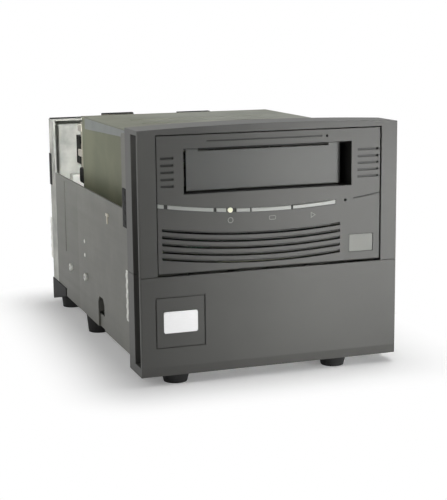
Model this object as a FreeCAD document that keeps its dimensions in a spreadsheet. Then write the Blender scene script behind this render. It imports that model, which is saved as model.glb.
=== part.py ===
# Data tape drive in an open sheet-metal carrier, built as a parametric FreeCAD document.
#
# Lengths are millimetres and angles degrees. Every sub-part is drawn in the carrier's own
# coordinates: X to the right as seen from the front, Y from the bezel's face into the depth, and
# Z up from the bezel's lower edge. Its Placement then carries it into the part's frame, which has
# its origin on the table under the middle of the whole, with the front looking along -Y.
import FreeCAD, Part
import math
import os
import re

import Sketcher

# ---------------------------------------------------------------- driving sizes
SIZES = {
    # The drive, a full-height 5.25-inch device
    "drive_width": 146.0,
    "drive_height": 82.5,
    "front_overhang": 1.5,  # drive's bezel beyond its casting, each side
    "front_rise": 1.9,  # drive's bezel above its cover
    "drive_rise": 1.1,  # casting's underside above the bezel's lower edge
    "drive_gap": 0.7,  # round the drive's bezel in the frame
    "drive_recess": 0.8,  # drive bezel's face behind the frame's face
    "drive_bezel_depth": 11.2,
    "drive_wall": 2.2,  # drive bezel's front wall
    "drive_chamfer": 0.9,
    "casting_wall": 3.0,
    "casting_floor": 2.5,
    "cover_sheet": 0.8,
    "cover_lip_front": 2.5,  # side lip of the top cover at the front
    "cover_lip_rear": 8.0,  # side lip of the top cover at the rear
    "cover_lip_end": 12.0,  # the lips end before the drive's back
    "cover_bead": 0.4,
    "bead_half": 50.0,
    "bead_width": 4.0,
    "bead_pitch": 30.0,
    # Cartridge slot, door and the front's openings
    "slot_centre": -1.4,  # middle of the cartridge slot across the drive
    "slot_width": 112.0,
    "slot_height": 28.1,
    "slot_drop": 6.2,  # slot's upper edge below the drive's top
    "slot_wall": 1.5,  # wall of the tunnel behind the slot
    "tunnel_back": 37.0,  # rear end of the tunnel
    "door_face": 9.4,  # door's face behind the bezel's face
    "door_side_gap": 4.2,
    "door_sill_gap": 0.6,
    "door_thickness": 1.6,
    "door_hang": 1.5,  # pivot below the top of the slot
    "door_ear": 8.0,  # width of the ears on the pin
    "door_pin_radius": 0.6,
    "door_rib": 1.0,
    "door_rib_height": 0.5,
    "running_gap": 0.05,  # radial clearance of a shaft in its hole
    "arc_radius": 472.0,  # radius that the trim and the louvres share
    "trim_drop": 12.1,  # lowest point of the trim's arc below the slot
    "trim_height": 2.2,
    "trim_groove": 0.6,  # depth of the groove that holds the trim
    "trim_thickness": 0.9,
    "trim_right": 43.6,  # right end of the trim's groove
    "thin_groove_left": 56.0,  # thin groove that carries the arc on at the right
    "thin_groove": 0.9,
    "thin_groove_depth": 0.8,
    "top_groove_rise": 3.7,  # straight groove above the slot
    "top_groove_left": -42.4,
    "top_groove_right": 34.4,
    "louvre_drop": 14.6,  # first louvre below the trim
    "louvre_pitch": 4.42,
    "louvre_height": 1.9,
    "louvre_inset": 2.7,
    "louvre_right": 46.8,
    "louvre_sill": 4.5,  # least height of a louvre above the bezel's lower edge
    "side_slot_drop": 4.8,
    "side_slot_pitch": 4.3,
    "side_slot_height": 1.4,
    "side_slot_depth": 1.4,
    "side_slot_count": 5,
    "left_slot_inset": 2.3,
    "left_slot_width": 8.4,
    "right_slot_inset": 1.1,
    "right_slot_width": 14.6,
    "patch_left": 53.0,  # shallow seat of the label at the lower right
    "patch_width": 17.0,
    "patch_rise": 5.9,
    "patch_height": 11.6,
    "patch_depth": 0.4,
    "keyhole_across": 50.4,  # hole for the emergency release
    "keyhole_rise": 2.7,
    "keyhole_radius": 0.9,
    "eject_left": 14.4,
    "eject_right": 43.4,
    "eject_travel": 0.8,
    "eject_proud": 0.3,
    "eject_cap": 4.5,  # depth of the button's cap
    "eject_flange": 1.2,
    "eject_stem": 2.4,
    "key_gap": 0.3,  # gap round a push button
    "led_across": -27.5,
    "led_rise": 0.8,
    "led_radius": 1.6,
    "led_proud": 0.2,
    "switch_face": 13.0,  # front of the eject switch's body
    "switch_size": 6.0,
    "lamp_board_front": 17.0,
    "lamp_board_drop": 6.1,
    "lamp_board_height": 14.0,
    "lamp_board_half": 60.0,
    "board_boss": 4.0,  # square boss that carries the lamp board
    "boss_across": 55.0,
    # Bezel of the carrier
    "lower_panel_height": 63.2,
    "frame_side": 11.4,  # width of the frame's side margins
    "frame_top": 4.9,  # height of the top margin at its middle
    "top_crown": 2.0,  # drop of the top edge from its middle to its corners
    "bezel_depth": 28.5,
    "bezel_wall": 2.5,  # moulding's wall
    "part_line": 0.3,  # joint between the frame and the lower panel
    "side_groove_depth": 5.0,  # groove down each side of the bezel
    "side_groove_end": 15.0,  # depth behind the face where the groove ends
    "groove_step": 2.0,  # wall behind the groove
    "collar_depth": 14.0,  # collar round the drive
    "collar_wall": 1.6,
    "frame_rib": 1.4,
    "frame_rib_rise": 14.0,
    "frame_rib_pitch": 19.0,
    "frame_rib_count": 4,
    "panel_rib": 1.6,
    "panel_rib_depth": 6.5,
    "panel_rib_inset": 26.0,
    "panel_rib_count": 5,
    "bezel_round": 1.2,  # radius of the bezel's upright corners
    "lip_height": 6.0,  # rolled lower lip
    "lip_slope": 1.2,  # how far the lip leans back at its bottom
    "badge_field": 32.4,  # square outline groove on the lower panel
    "badge_field_left": 9.4,  # from the bezel's left edge
    "badge_field_bottom": 18.0,
    "badge_groove": 0.8,  # width and depth of the outline groove
    "badge_width": 22.0,
    "badge_height": 13.6,
    "badge_round": 0.8,
    "badge_seat": 0.8,  # depth of the pocket that holds the plate
    "badge_proud": 0.4,  # how far the plate stands out of the bezel's face
    "fit_gap": 0.1,  # gap round a piece seated in a pocket
    # Carrier
    "foot_drop": 6.0,  # feet below the bezel's lower edge
    "sheet_steel": 1.2,
    "floor_level": 8.0,  # underside of the carrier's floor
    "chassis_inset": 0.6,  # side walls inside the bezel's sides
    "module_depth": 265.0,  # bezel face to rear panel
    "rear_reach": 6.5,  # how far the rear fittings stand out
    "wall_height": 101.0,  # top edge of the low middle of the side walls
    "wall_round": 3.0,
    "front_ear_top": 149.0,
    "front_ear_depth": 11.5,
    "rear_panel_top": 141.5,
    "rear_flange": 20.0,  # side return of the rear panel
    "rear_top_flange": 12.0,
    "rear_round": 1.5,
    "joint_gap": 0.3,  # gap between separate pieces that only lie side by side
    "floor_flange": 9.0,  # upturned edge of the floor
    "floor_slot": 6.0,
    "floor_slot_pitch": 16.0,
    "floor_slot_count": 8,
    "floor_slot_bottom": 22.0,
    "floor_slot_height": 28.0,
    "floor_front_half": 67.0,
    "floor_vent_half": 30.0,
    "floor_vent_front": 52.0,
    "floor_vent": 3.0,
    "floor_vent_pitch": 8.0,
    "floor_vent_count": 4,
    "guide_bottom": 89.7,  # black guides in the side walls
    "guide_height": 24.7,
    "guide_front_width": 8.6,
    "guide_rear_width": 7.0,
    "guide_notch": 4.2,  # how far the rear guides' openings reach in from the side
    "guide_bar": 1.0,  # bar of the wall in front of the front guide
    "guide_proud": 0.4,
    "guide_thickness": 4.1,
    "notch_front": 95.5,  # latch notch in the side wall
    "notch_width": 17.5,
    "notch_height": 22.0,
    "notch_bevel": 4.0,
    "notch_rim": 1.0,
    "wall_line": 0.5,  # depth of the pressed lines in the side walls
    "wall_line_bottom": 44.0,
    "wall_line_margin": 3.0,
    "wall_line_width": 3.0,
    "wall_line_back": 54.0,
    "finger_width": 4.4,  # contact springs
    "finger_pitch": 6.6,
    "finger_count": 5,
    "finger_bottom": 29.5,
    "finger_sheet": 0.2,
    "finger_bulge": 0.4,
    "finger_inset": 0.6,
    "shelf_front": 30.2,
    "shelf_overhang": 11.0,
    "shelf_fold": 12.0,
    "shelf_slot_half": 40.0,
    "shelf_slot_front": 60.0,
    "shelf_slot": 6.0,
    "shelf_slot_pitch": 30.0,
    "shelf_slot_count": 4,
    "foot_radius": 9.0,
    "foot_taper": 1.5,  # rubber foot's draft from top to bottom
    "front_foot_depth": 10.5,
    "left_foot_inset": 24.6,
    "right_foot_inset": 40.6,
    "rear_foot_inset": 10.0,
    "rear_foot_back": 22.0,
    "middle_foot_depth": 37.0,
    # Mechanism
    "deck_drop": 10.2,  # underside of the deck below the slot
    "deck_sheet": 3.0,
    "deck_front": 56.0,
    "deck_window": 20.0,
    "deck_window_left": -60.0,
    "deck_window_front": 62.0,
    "deck_window_depth": 10.0,
    "ledge_width": 4.0,  # ledges of the casting under the deck
    "ledge_depth": 10.0,
    "ledge_pitch": 56.0,
    "ledge_count": 3,
    "receiver_depth": 92.0,
    "receiver_gap": 1.0,  # between the tunnel and the receiver
    "cartridge_width": 106.4,  # clear width for the cartridge in the receiver
    "cartridge_height": 26.4,  # clear height for the cartridge in the receiver
    "cartridge_step": 0.4,  # cartridge's underside below the slot's lower edge
    "receiver_sheet": 1.0,
    "receiver_drop": 2.5,  # how far the receiver lowers the cartridge on to its hub
    "receiver_band_front": 14.0,
    "receiver_band": 12.0,
    "receiver_lug": 3.0,
    "lug_front": 66.0,
    "lug_back": 118.0,
    "lug_rise": 8.5,
    "plate_gap": 0.6,  # gap between the receiver and its side plates
    "plate_sheet": 1.5,
    "plate_foot": 7.0,
    "plate_front": 58.0,
    "plate_back": 126.0,
    "plate_rise": 15.0,
    "hub_radius": 17.0,
    "hub_depth": 84.0,  # supply hub's place behind the face
    "hub_clear": 4.0,
    "hub_drop": 1.5,  # hub's face below the waiting cartridge
    "hub_chamfer": 2.2,
    "hub_teeth": 12,
    "tooth_length": 3.0,
    "tooth_width": 1.0,
    "tooth_height": 0.7,
    "reel_radius": 33.0,
    "reel_across": -24.0,
    "reel_clear": 2.0,
    "reel_hub_radius": 14.0,
    "reel_gap": 14.4,  # clear width between the reel's flanges
    "reel_flange": 1.2,
    "reel_window": 9.0,
    "reel_window_width": 14.0,
    "reel_windows": 3,
    "tape_rise": 12.8,  # middle of the tape's path above the slot's lower edge
    "tape_half": 8.0,  # half the height of the rollers and of the head's carriage
    "spindle_radius": 4.0,
    "roller_radius": 5.0,
    "roller_pin_radius": 1.5,
    "roller_post": 3.2,  # circumradius of the hexagonal posts under the rollers
    "pin_end": 1.5,
    "first_roller_across": 60.0,
    "first_roller_back": -30.0,  # rollers and head are placed from the take-up reel's axis
    "second_roller_across": 60.0,
    "second_roller_back": 5.0,
    "third_roller_across": 46.0,
    "third_roller_back": 21.0,
    "fourth_roller_across": 25.0,
    "fourth_roller_back": 25.0,
    "head_across": 46.0,
    "head_back": -13.0,
    "head_travel": 3.0,
    "head_left": 8.0,
    "head_right": 7.0,
    "head_half": 10.0,  # half the depth of the carriage
    "head_tip": 2.0,
    "head_tip_half": 5.0,
    "head_tip_radius": 6.5,
    "lead_screw_radius": 2.5,
    "guide_radius": 1.5,  # head's guide shafts
    "guide_across": 4.0,
    "guide_spread": 7.0,
    "bridge_sheet": 2.0,
    "motor_radius": 28.0,
    "head_motor_radius": 14.0,
    "motor_height": 16.0,
    "motor_bevel": 1.0,
    "board_rise": 7.0,
    "board_thickness": 1.6,
    "board_half": 64.0,
    "board_front": 40.0,
    "board_back_gap": 7.0,
    "board_post": 6.0,
    "post_across": 60.0,
    "post_front": 47.0,
    "post_back_gap": 21.0,
    # Rear fittings
    "fan_size": 60.0,
    "fan_depth": 25.0,
    "fan_centre": 98.0,
    "fan_blades": 7,
    "fan_blade": 1.4,
    "fan_blade_lean": 6.0,
    "fan_blade_front": 4.0,
    "fan_blade_back": 18.0,
    "fan_duct_wall": 1.5,
    "fan_tip_gap": 0.8,
    "fan_hub_radius": 15.0,
    "fan_cup": 1.5,
    "fan_spoke": 3.0,
    "fan_screw": 25.0,  # half the spacing of the fan's screws
    "fan_side_gap": 2.0,
    "fan_round": 3.0,
    "inlet_width": 27.4,
    "inlet_height": 19.8,
    "inlet_bottom": 20.0,
    "inlet_spacing": 33.0,
    "inlet_depth": 16.0,
    "inlet_flange": 2.0,
    "inlet_wall": 2.0,
    "inlet_corner": 4.0,
    "inlet_pin": 2.0,
    "inlet_pin_height": 4.0,
    "inlet_pin_length": 10.0,
    "inlet_pin_spread": 7.0,
    "rocker_inset": 23.0,
    "rocker_bottom": 20.0,
    "rocker_width": 12.9,
    "rocker_height": 19.2,
    "rocker_flange": 1.5,
    "rocker_depth": 12.0,
    "rocker_axle": 1.0,
    "rocker_pivot": 3.0,  # axle behind the rear panel's outer face
    "switch_tilt": 7.0,  # rocker's tilt either way
    "socket_inset": 16.0,
    "socket_width": 52.0,
    "socket_height": 11.0,
    "lower_socket_bottom": 68.0,
    "socket_pitch": 18.0,
    "socket_flange": 8.0,
    "socket_plate": 0.8,
    "socket_depth": 12.0,
    "socket_shell": 5.0,
    "socket_wall": 1.0,
    "socket_tongue": 2.0,
    "socket_tongue_inset": 4.0,
    "jack_post_radius": 2.9,  # circumradius of the hexagonal posts
    "jack_post_offset": 4.2,
    "selector_inset": 22.0,
    "selector_width": 9.0,
    "selector_height": 22.0,
    "selector_bottom": 106.0,
    "selector_depth": 14.0,
    "selector_proud": 1.0,
    "selector_window": 5.2,
    "selector_rim": 1.5,
    "selector_axle": 0.8,
    "address_button_size": 3.0,
    "address_button_reach": 2.5,
    "address_button_depth": 8.5,
    "wheel_radius": 4.6,
    "wheel_depth": 5.0,
    "wheel_faces": 10,
    "vent_inset": 22.0,
    "vent_width": 3.0,
    "vent_pitch": 5.0,
    "vent_count": 3,
    "vent_bottom": 70.0,
    "vent_height": 22.0,
    "tab_left": -43.0,  # raised tab on the rear panel's top edge
    "tab_width": 25.5,
    "tab_rise": 2.2,
    "tab_depth": 4.0,
    "gasket_height": 0.8,
    "gasket_depth": 5.0,
    "gasket_right": 16.0,
    "bar_left": 20.0,
    "bar_width": 27.0,
    "bar_height": 2.0,  # taller black bar on the rear panel's top edge
    "cap_width": 6.0,
    "cap_height": 1.0,
    "corner_guide_depth": 48.0,  # black guides under the rear corners
    "corner_guide_width": 21.0,
    "corner_guide_drop": 3.0,
    "corner_guide_toe": 2.0,
    "corner_guide_skirt": 0.6,
    "corner_guide_rise": 6.0,
    # Power supply
    "supply_side_gap": 1.8,
    "supply_height": 44.0,
    "supply_depth": 128.0,
    "supply_back_gap": 19.0,
    "supply_rise": 3.0,  # supply's board above the floor
    "supply_board_gap": 4.0,
    "supply_pad": 8.0,
    "supply_slot": 6.0,
    "supply_slot_pitch": 18.0,
    "supply_slot_count": 8,
    "supply_slot_rise": 8.0,
    "supply_vent": 5.0,
    "supply_vent_half": 60.0,
    "supply_vent_pitch": 20.0,
    "supply_vent_count": 5,
    "transformer_width": 34.0,
    "transformer_depth": 32.0,
    "transformer_height": 28.0,
    "heat_sink": 4.0,
    "heat_sink_depth": 80.0,
    "reservoir_radius": 11.0,
    "reservoir_height": 30.0,
    # Fasteners
    "side_screw_radius": 1.5,
    "drive_screw_radius": 1.5,
    "fan_screw_radius": 2.0,
    "fan_screw_length": 8.0,
    "drive_screw_length": 5.0,
    "first_screw_depth": 28.5,  # side screws, from the supply's front
    "first_screw_level": 36.5,
    "second_screw_depth": 77.0,
    "second_screw_level": 35.0,
    "mount_across": 69.85,  # half the spacing of the drive's mounting holes across
    "mount_spacing": 79.24,  # spacing of the drive's mounting holes along its depth
    "mount_setback": 47.4,  # first mounting hole behind the back of the drive's bezel
    "mount_boss": 5.0,
}

# ---------------------------------------------------------------- sizes that follow
FOLLOWING = {
    "half_drive": "=drive_width / 2",
    "half_drive_bezel": "=half_drive + front_overhang",
    "half_hole": "=half_drive_bezel + drive_gap",
    "half_bezel": "=half_hole + frame_side",
    "half_chassis": "=half_bezel - chassis_inset",
    "front": "=(badge_proud - module_depth - rear_reach) / 2",  # bezel's face in the part's frame
    "frame_bottom": "=lower_panel_height",
    "panel_top": "=lower_panel_height - part_line",
    "drive_bezel_bottom": "=frame_bottom + drive_gap",
    "drive_bottom": "=drive_bezel_bottom + drive_rise",
    "drive_top": "=drive_bottom + drive_height",
    "casting_top": "=drive_top - cover_sheet",
    "drive_bezel_top": "=drive_top + front_rise",
    "hole_top": "=drive_bezel_top + drive_gap",
    "bezel_height": "=hole_top + frame_top",
    "corner_height": "=bezel_height - top_crown",
    "crown_radius": "=(half_bezel ^ 2 + top_crown ^ 2) / (2 * top_crown)",
    "groove_side": "=half_bezel - side_groove_depth",
    "skin_inner": "=half_bezel - bezel_wall",
    "groove_inner": "=groove_side - bezel_wall",
    "wall_inner": "=half_chassis - sheet_steel",
    "wall_front": "=bezel_depth + joint_gap",
    "panel_face": "=module_depth - sheet_steel",  # inner face of the rear panel
    "flange_front": "=module_depth - rear_flange",
    "floor_top": "=floor_level + sheet_steel",
    "trough_outer": "=wall_inner - fit_gap",  # floor and shelf between the side walls
    "trough_inner": "=trough_outer - sheet_steel",
    "tab_top": "=rear_panel_top + tab_rise",
    "drive_face": "=drive_recess",
    "drive_wall_back": "=drive_face + drive_wall",
    "drive_bezel_back": "=drive_face + drive_bezel_depth",
    "cavity_half": "=half_drive - casting_wall",
    "casting_front": "=drive_bezel_back + joint_gap",
    "casting_inside": "=drive_bottom + casting_floor",
    "cover_half": "=half_drive + fit_gap + cover_sheet",
    "slot_left": "=slot_centre - slot_width / 2",
    "slot_right": "=slot_centre + slot_width / 2",
    "slot_top": "=drive_top - slot_drop",
    "slot_bottom": "=slot_top - slot_height",
    "pivot_level": "=slot_top - door_hang",
    "pivot_depth": "=door_face + door_thickness / 2",
    "door_left": "=slot_left + door_side_gap",
    "door_right": "=slot_right - door_side_gap",
    "door_top": "=pivot_level - door_thickness / 2 - 2 * fit_gap",
    "door_bottom": "=slot_bottom + door_sill_gap",
    "trim_level": "=slot_bottom - trim_drop",
    "top_groove_level": "=slot_top + top_groove_rise",
    "louvre_level": "=trim_level - louvre_drop",
    "louvre_left": "=louvre_inset - half_drive_bezel",
    "louvre_count": "=floor((louvre_level - drive_bezel_bottom - louvre_sill) / louvre_pitch) + 1",
    "side_slot_top": "=slot_top - side_slot_drop",
    "left_slot": "=left_slot_inset - half_drive_bezel",
    "right_slot": "=half_drive_bezel - right_slot_inset - right_slot_width",
    "patch_bottom": "=drive_bezel_bottom + patch_rise",
    "button_face": "=drive_face - eject_proud",
    "eject_middle": "=(eject_left + eject_right) / 2",
    "led_level": "=trim_level + led_rise",
    "lamp_board_bottom": "=trim_level - lamp_board_drop",
    "lamp_front": "=lamp_board_front - 1",
    "badge_left": "=-half_bezel + badge_field_left + (badge_field - badge_width) / 2",
    "badge_bottom": "=badge_field_bottom + (badge_field - badge_height) / 2",
    "field_left": "=-half_bezel + badge_field_left",
    "field_top": "=badge_field_bottom + badge_field",
    "shelf_level": "=drive_bottom - sheet_steel",  # underside of the drive shelf
    "shelf_top": "=drive_bottom",
    "guide_front": "=wall_front + guide_bar",
    "guide_rear": "=module_depth - guide_rear_width",
    "deck_level": "=slot_bottom - deck_drop",  # underside of the deck
    "deck_top": "=deck_level + deck_sheet",
    "deck_half": "=cavity_half - fit_gap",
    "cartridge_bottom": "=slot_bottom - cartridge_step",
    "cartridge_top": "=cartridge_bottom + cartridge_height",
    "receiver_front": "=tunnel_back + receiver_gap",
    "receiver_back": "=receiver_front + receiver_depth",
    "receiver_inner": "=cartridge_width / 2",
    "receiver_outer": "=receiver_inner + receiver_sheet",
    "plate_inner": "=receiver_outer + plate_gap",
    "plate_outer": "=plate_inner + plate_sheet",
    "lug_level": "=cartridge_bottom + lug_rise",
    "hub_top": "=cartridge_bottom - hub_drop",
    "hub_opening": "=hub_radius + hub_clear",
    "spindle_bottom": "=deck_level + joint_gap",
    "tape_centre": "=slot_bottom + tape_rise",
    "tape_low": "=tape_centre - tape_half",
    "tape_high": "=tape_centre + tape_half",
    "reel_low": "=tape_centre - reel_gap / 2",
    "reel_high": "=tape_centre + reel_gap / 2",
    "reel_depth": "=receiver_back + reel_radius + reel_clear",
    "drive_back": "=reel_depth + reel_radius + reel_clear + casting_wall",
    "deck_back": "=drive_back - casting_wall - fit_gap",
    "shelf_back": "=drive_back + shelf_overhang",
    "head_depth": "=reel_depth + head_back",
    "head_left_side": "=head_across - head_left",
    "head_right_side": "=head_across + head_right",
    "head_near": "=head_depth - head_half",
    "head_far": "=head_depth + head_half",
    "bridge_level": "=tape_high + head_travel + 1",
    "mount_front": "=drive_bezel_back + mount_setback",
    "mount_back": "=mount_front + mount_spacing",
    "board_level": "=drive_bottom + board_rise",
    "board_top": "=board_level + board_thickness",
    "board_back": "=drive_back - board_back_gap",
    "post_back": "=drive_back - post_back_gap",
    "supply_half": "=wall_inner - supply_side_gap",
    "supply_top": "=floor_top + supply_height",
    "supply_back": "=module_depth - supply_back_gap",
    "supply_front": "=supply_back - supply_depth",
    "supply_board_level": "=floor_top + supply_rise",
    "supply_board_top": "=supply_board_level + board_thickness",
    "first_screw": "=supply_front + first_screw_depth",
    "second_screw": "=supply_front + second_screw_depth",
    "side_screw_length": "=half_chassis - supply_half + sheet_steel",
    "left_foot": "=left_foot_inset - half_bezel",
    "right_foot": "=half_bezel - right_foot_inset",
    "rear_foot_across": "=half_chassis - rear_foot_inset",
    "middle_foot": "=supply_front + middle_foot_depth",
    "rear_foot": "=module_depth - rear_foot_back",
    "corner_guide_front": "=module_depth - corner_guide_depth",
    "socket_left": "=socket_inset - half_chassis",
    "socket_right": "=socket_left + socket_width",
    "upper_socket_bottom": "=lower_socket_bottom + socket_pitch",
    "fan_across": "=socket_right + socket_flange + fan_side_gap + fan_size / 2",
    "fan_front": "=panel_face - fan_depth",
    "fan_half": "=fan_size / 2",
    "fan_duct": "=fan_half - fan_duct_wall",
    "fan_tip": "=fan_duct - fan_tip_gap",
    "fan_cup_inner": "=fan_hub_radius - fan_cup",
    "fan_cup_back": "=fan_depth - fan_spoke - joint_gap",
    "rocker_left": "=half_chassis - rocker_inset",
    "inlet_left": "=rocker_left - inlet_spacing",
    "selector_left": "=selector_inset - half_chassis",
    "selector_middle": "=selector_left + selector_width / 2",
    "selector_top": "=selector_bottom + selector_height",
    "wheel_level": "=selector_bottom + selector_height / 2",
    "rocker_level": "=rocker_bottom + rocker_height / 2",
    "vent_left": "=half_chassis - vent_inset",
}

# Openings of the rear panel: left, bottom, width and height.
INLET = ("inlet_left", "inlet_bottom", "inlet_width", "inlet_height")
ROCKER = ("rocker_left", "rocker_bottom", "rocker_width", "rocker_height")
SOCKETS = (("socket_left", "lower_socket_bottom", "socket_width", "socket_height"),
           ("socket_left", "upper_socket_bottom", "socket_width", "socket_height"))
SELECTOR = ("selector_left", "selector_bottom", "selector_width", "selector_height")

# Places given as pairs: depth and height, or across and depth.
SIDE_SCREWS = (("first_screw", "first_screw_level"), ("second_screw", "second_screw_level"))
ROLLER_SPOTS = tuple((f"{which}_roller_across", f"reel_depth + {which}_roller_back")
                     for which in ("first", "second", "third", "fourth"))
FRONT_FEET = (("left_foot", "front_foot_depth"), ("right_foot", "front_foot_depth"))
REAR_FEET = tuple((across, depth) for depth in ("middle_foot", "rear_foot")
                  for across in ("-rear_foot_across", "rear_foot_across"))
MOUNT_SPOTS = tuple((across, depth) for across in ("-mount_across", "mount_across")
                    for depth in ("mount_front", "mount_back"))
FAN_SCREWS = tuple((f"{i} * fan_screw", f"{j} * fan_screw") for i in (-1, 1) for j in (-1, 1))
BOARD_POSTS = tuple((across, depth) for across in ("-post_across", "post_across")
                    for depth in ("post_front", "post_back"))
LUGS = ("lug_front", "lug_back")

# Left and right ends of the trim's pieces, and the main board's chips: left, front, width, depth
# and height, counted from the middle of the drive and from the board's front edge.
TRIM_PIECES = (("fit_gap - half_drive_bezel", "-70.5"), ("-68", "-38.6"), ("-36.5", "-30.3"),
               ("-23.4", "-14.6"), ("-13.5", "eject_left - 5 * key_gap"))
CHIPS = ((-30, 20, 28, 28, 2.4), (8, 20, 20, 20, 2), (-52, 70, 14, 20, 2), (38, 72, 18, 18, 2.2),
         (-10, 88, 30, 12, 2.6))

doc = FreeCAD.newDocument("tape_drive")
sheet = doc.addObject("Spreadsheet::Sheet", "sizes")
for row, (name, content) in enumerate({**SIZES, **FOLLOWING}.items(), start=1):
    sheet.set(f"A{row}", name)
    sheet.set(f"B{row}", str(content))
    sheet.setAlias(f"B{row}", name)
doc.recompute()

nodes = []
cuts = []


def text(expression):
    """Turn an expression on plain size names into one on the sheet's cells."""
    words = re.compile(r"\b([a-z][a-z_]+)\b")
    maths = ("sqrt", "sin", "cos", "floor")
    return words.sub(lambda m: m.group(0) if m.group(0) in maths else "sizes." + m.group(0),
                     str(expression))


def number(expression):
    """The present value of an expression on size names."""
    found = sheet.evalExpression(text(expression))
    return float(getattr(found, "Value", found))


def place(item, x="0", y="0", z="0", in_frame=True):
    """Bind an object's Placement; in_frame carries it from the carrier to the part's frame."""
    item.setExpression("Placement.Base.x", text(x))
    item.setExpression("Placement.Base.y", text(f"front + {y}" if in_frame else y))
    item.setExpression("Placement.Base.z", text(f"foot_drop + {z}" if in_frame else z))


def node(label, item):
    """Make an object one of the drive's named sub-parts."""
    item.Label = label
    nodes.append(item)
    return item


# ---------------------------------------------------------------- sketches
def rectangle(left, right, bottom, top):
    return [(left, bottom), (right, bottom), (right, top), (left, top)]


def circle(across, up, radius):
    return {"circle": (across, up, radius)}


def arc_band(left, right, level, height):
    """A band of the shared arc, whose lowest point on its middle line is at level."""
    def edge(across, offset):
        return f"{level} + arc_radius - sqrt((arc_radius + {offset}) ^ 2 - ({across}) ^ 2)"
    half = f"({height}) / 2"
    lower = f"arc_radius + {half}"
    upper = f"arc_radius - {half}"
    return [(left, edge(left, half), lower, 1), (right, edge(right, half)),
            (right, edge(right, "-" + half), upper, -1), (left, edge(left, "-" + half))]


def arc_between(start, end, radius, turn):
    """An arc edge that turns left (1) or right (-1) on its way from start to end."""
    chord = end - start
    middle = start + chord * 0.5
    left = FreeCAD.Vector(-chord.y, chord.x, 0).normalize()
    centre = middle + left * (turn * math.sqrt(max(radius ** 2 - (chord.Length / 2) ** 2, 0)))
    first, last = (start, end) if turn > 0 else (end, start)
    a = math.atan2(first.y - centre.y, first.x - centre.x)
    b = math.atan2(last.y - centre.y, last.x - centre.x)
    if b < a:
        b += 2 * math.pi
    return Part.ArcOfCircle(Part.Circle(centre, FreeCAD.Vector(0, 0, 1), radius), a, b)


def draw(sketch, loop):
    """Draw one closed loop and bind each of its points to the sheet."""
    def bind(kind, where, expression):
        number_of = sketch.addConstraint(Sketcher.Constraint(kind, *where, number(expression)))
        sketch.setExpression(f"Constraints[{number_of}]", text(expression))
    if isinstance(loop, dict):
        across, up, radius = loop["circle"]
        centre = FreeCAD.Vector(number(across), number(up), 0)
        item = sketch.addGeometry(Part.Circle(centre, FreeCAD.Vector(0, 0, 1), number(radius)), False)
        bind("DistanceX", (-1, 1, item, 3), across)
        bind("DistanceY", (-1, 1, item, 3), up)
        bind("Radius", (item,), radius)
        return
    spots = [FreeCAD.Vector(number(corner[0]), number(corner[1]), 0) for corner in loop]
    edges = []
    for i, corner in enumerate(loop):
        start, end = spots[i], spots[(i + 1) % len(spots)]
        if len(corner) == 4:
            shape = arc_between(start, end, number(corner[2]), corner[3])
            ends = (1, 2) if corner[3] > 0 else (2, 1)
        else:
            shape = Part.LineSegment(start, end)
            ends = (1, 2)
        edges.append((sketch.addGeometry(shape, False), ends))
    for i, (item, ends) in enumerate(edges):
        following, following_ends = edges[(i + 1) % len(edges)]
        sketch.addConstraint(Sketcher.Constraint("Coincident", item, ends[1], following, following_ends[0]))
    for (item, ends), corner in zip(edges, loop):
        bind("DistanceX", (-1, 1, item, ends[0]), corner[0])
        bind("DistanceY", (-1, 1, item, ends[0]), corner[1])
        if len(corner) == 4:
            bind("Radius", (item,), corner[2])


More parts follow.
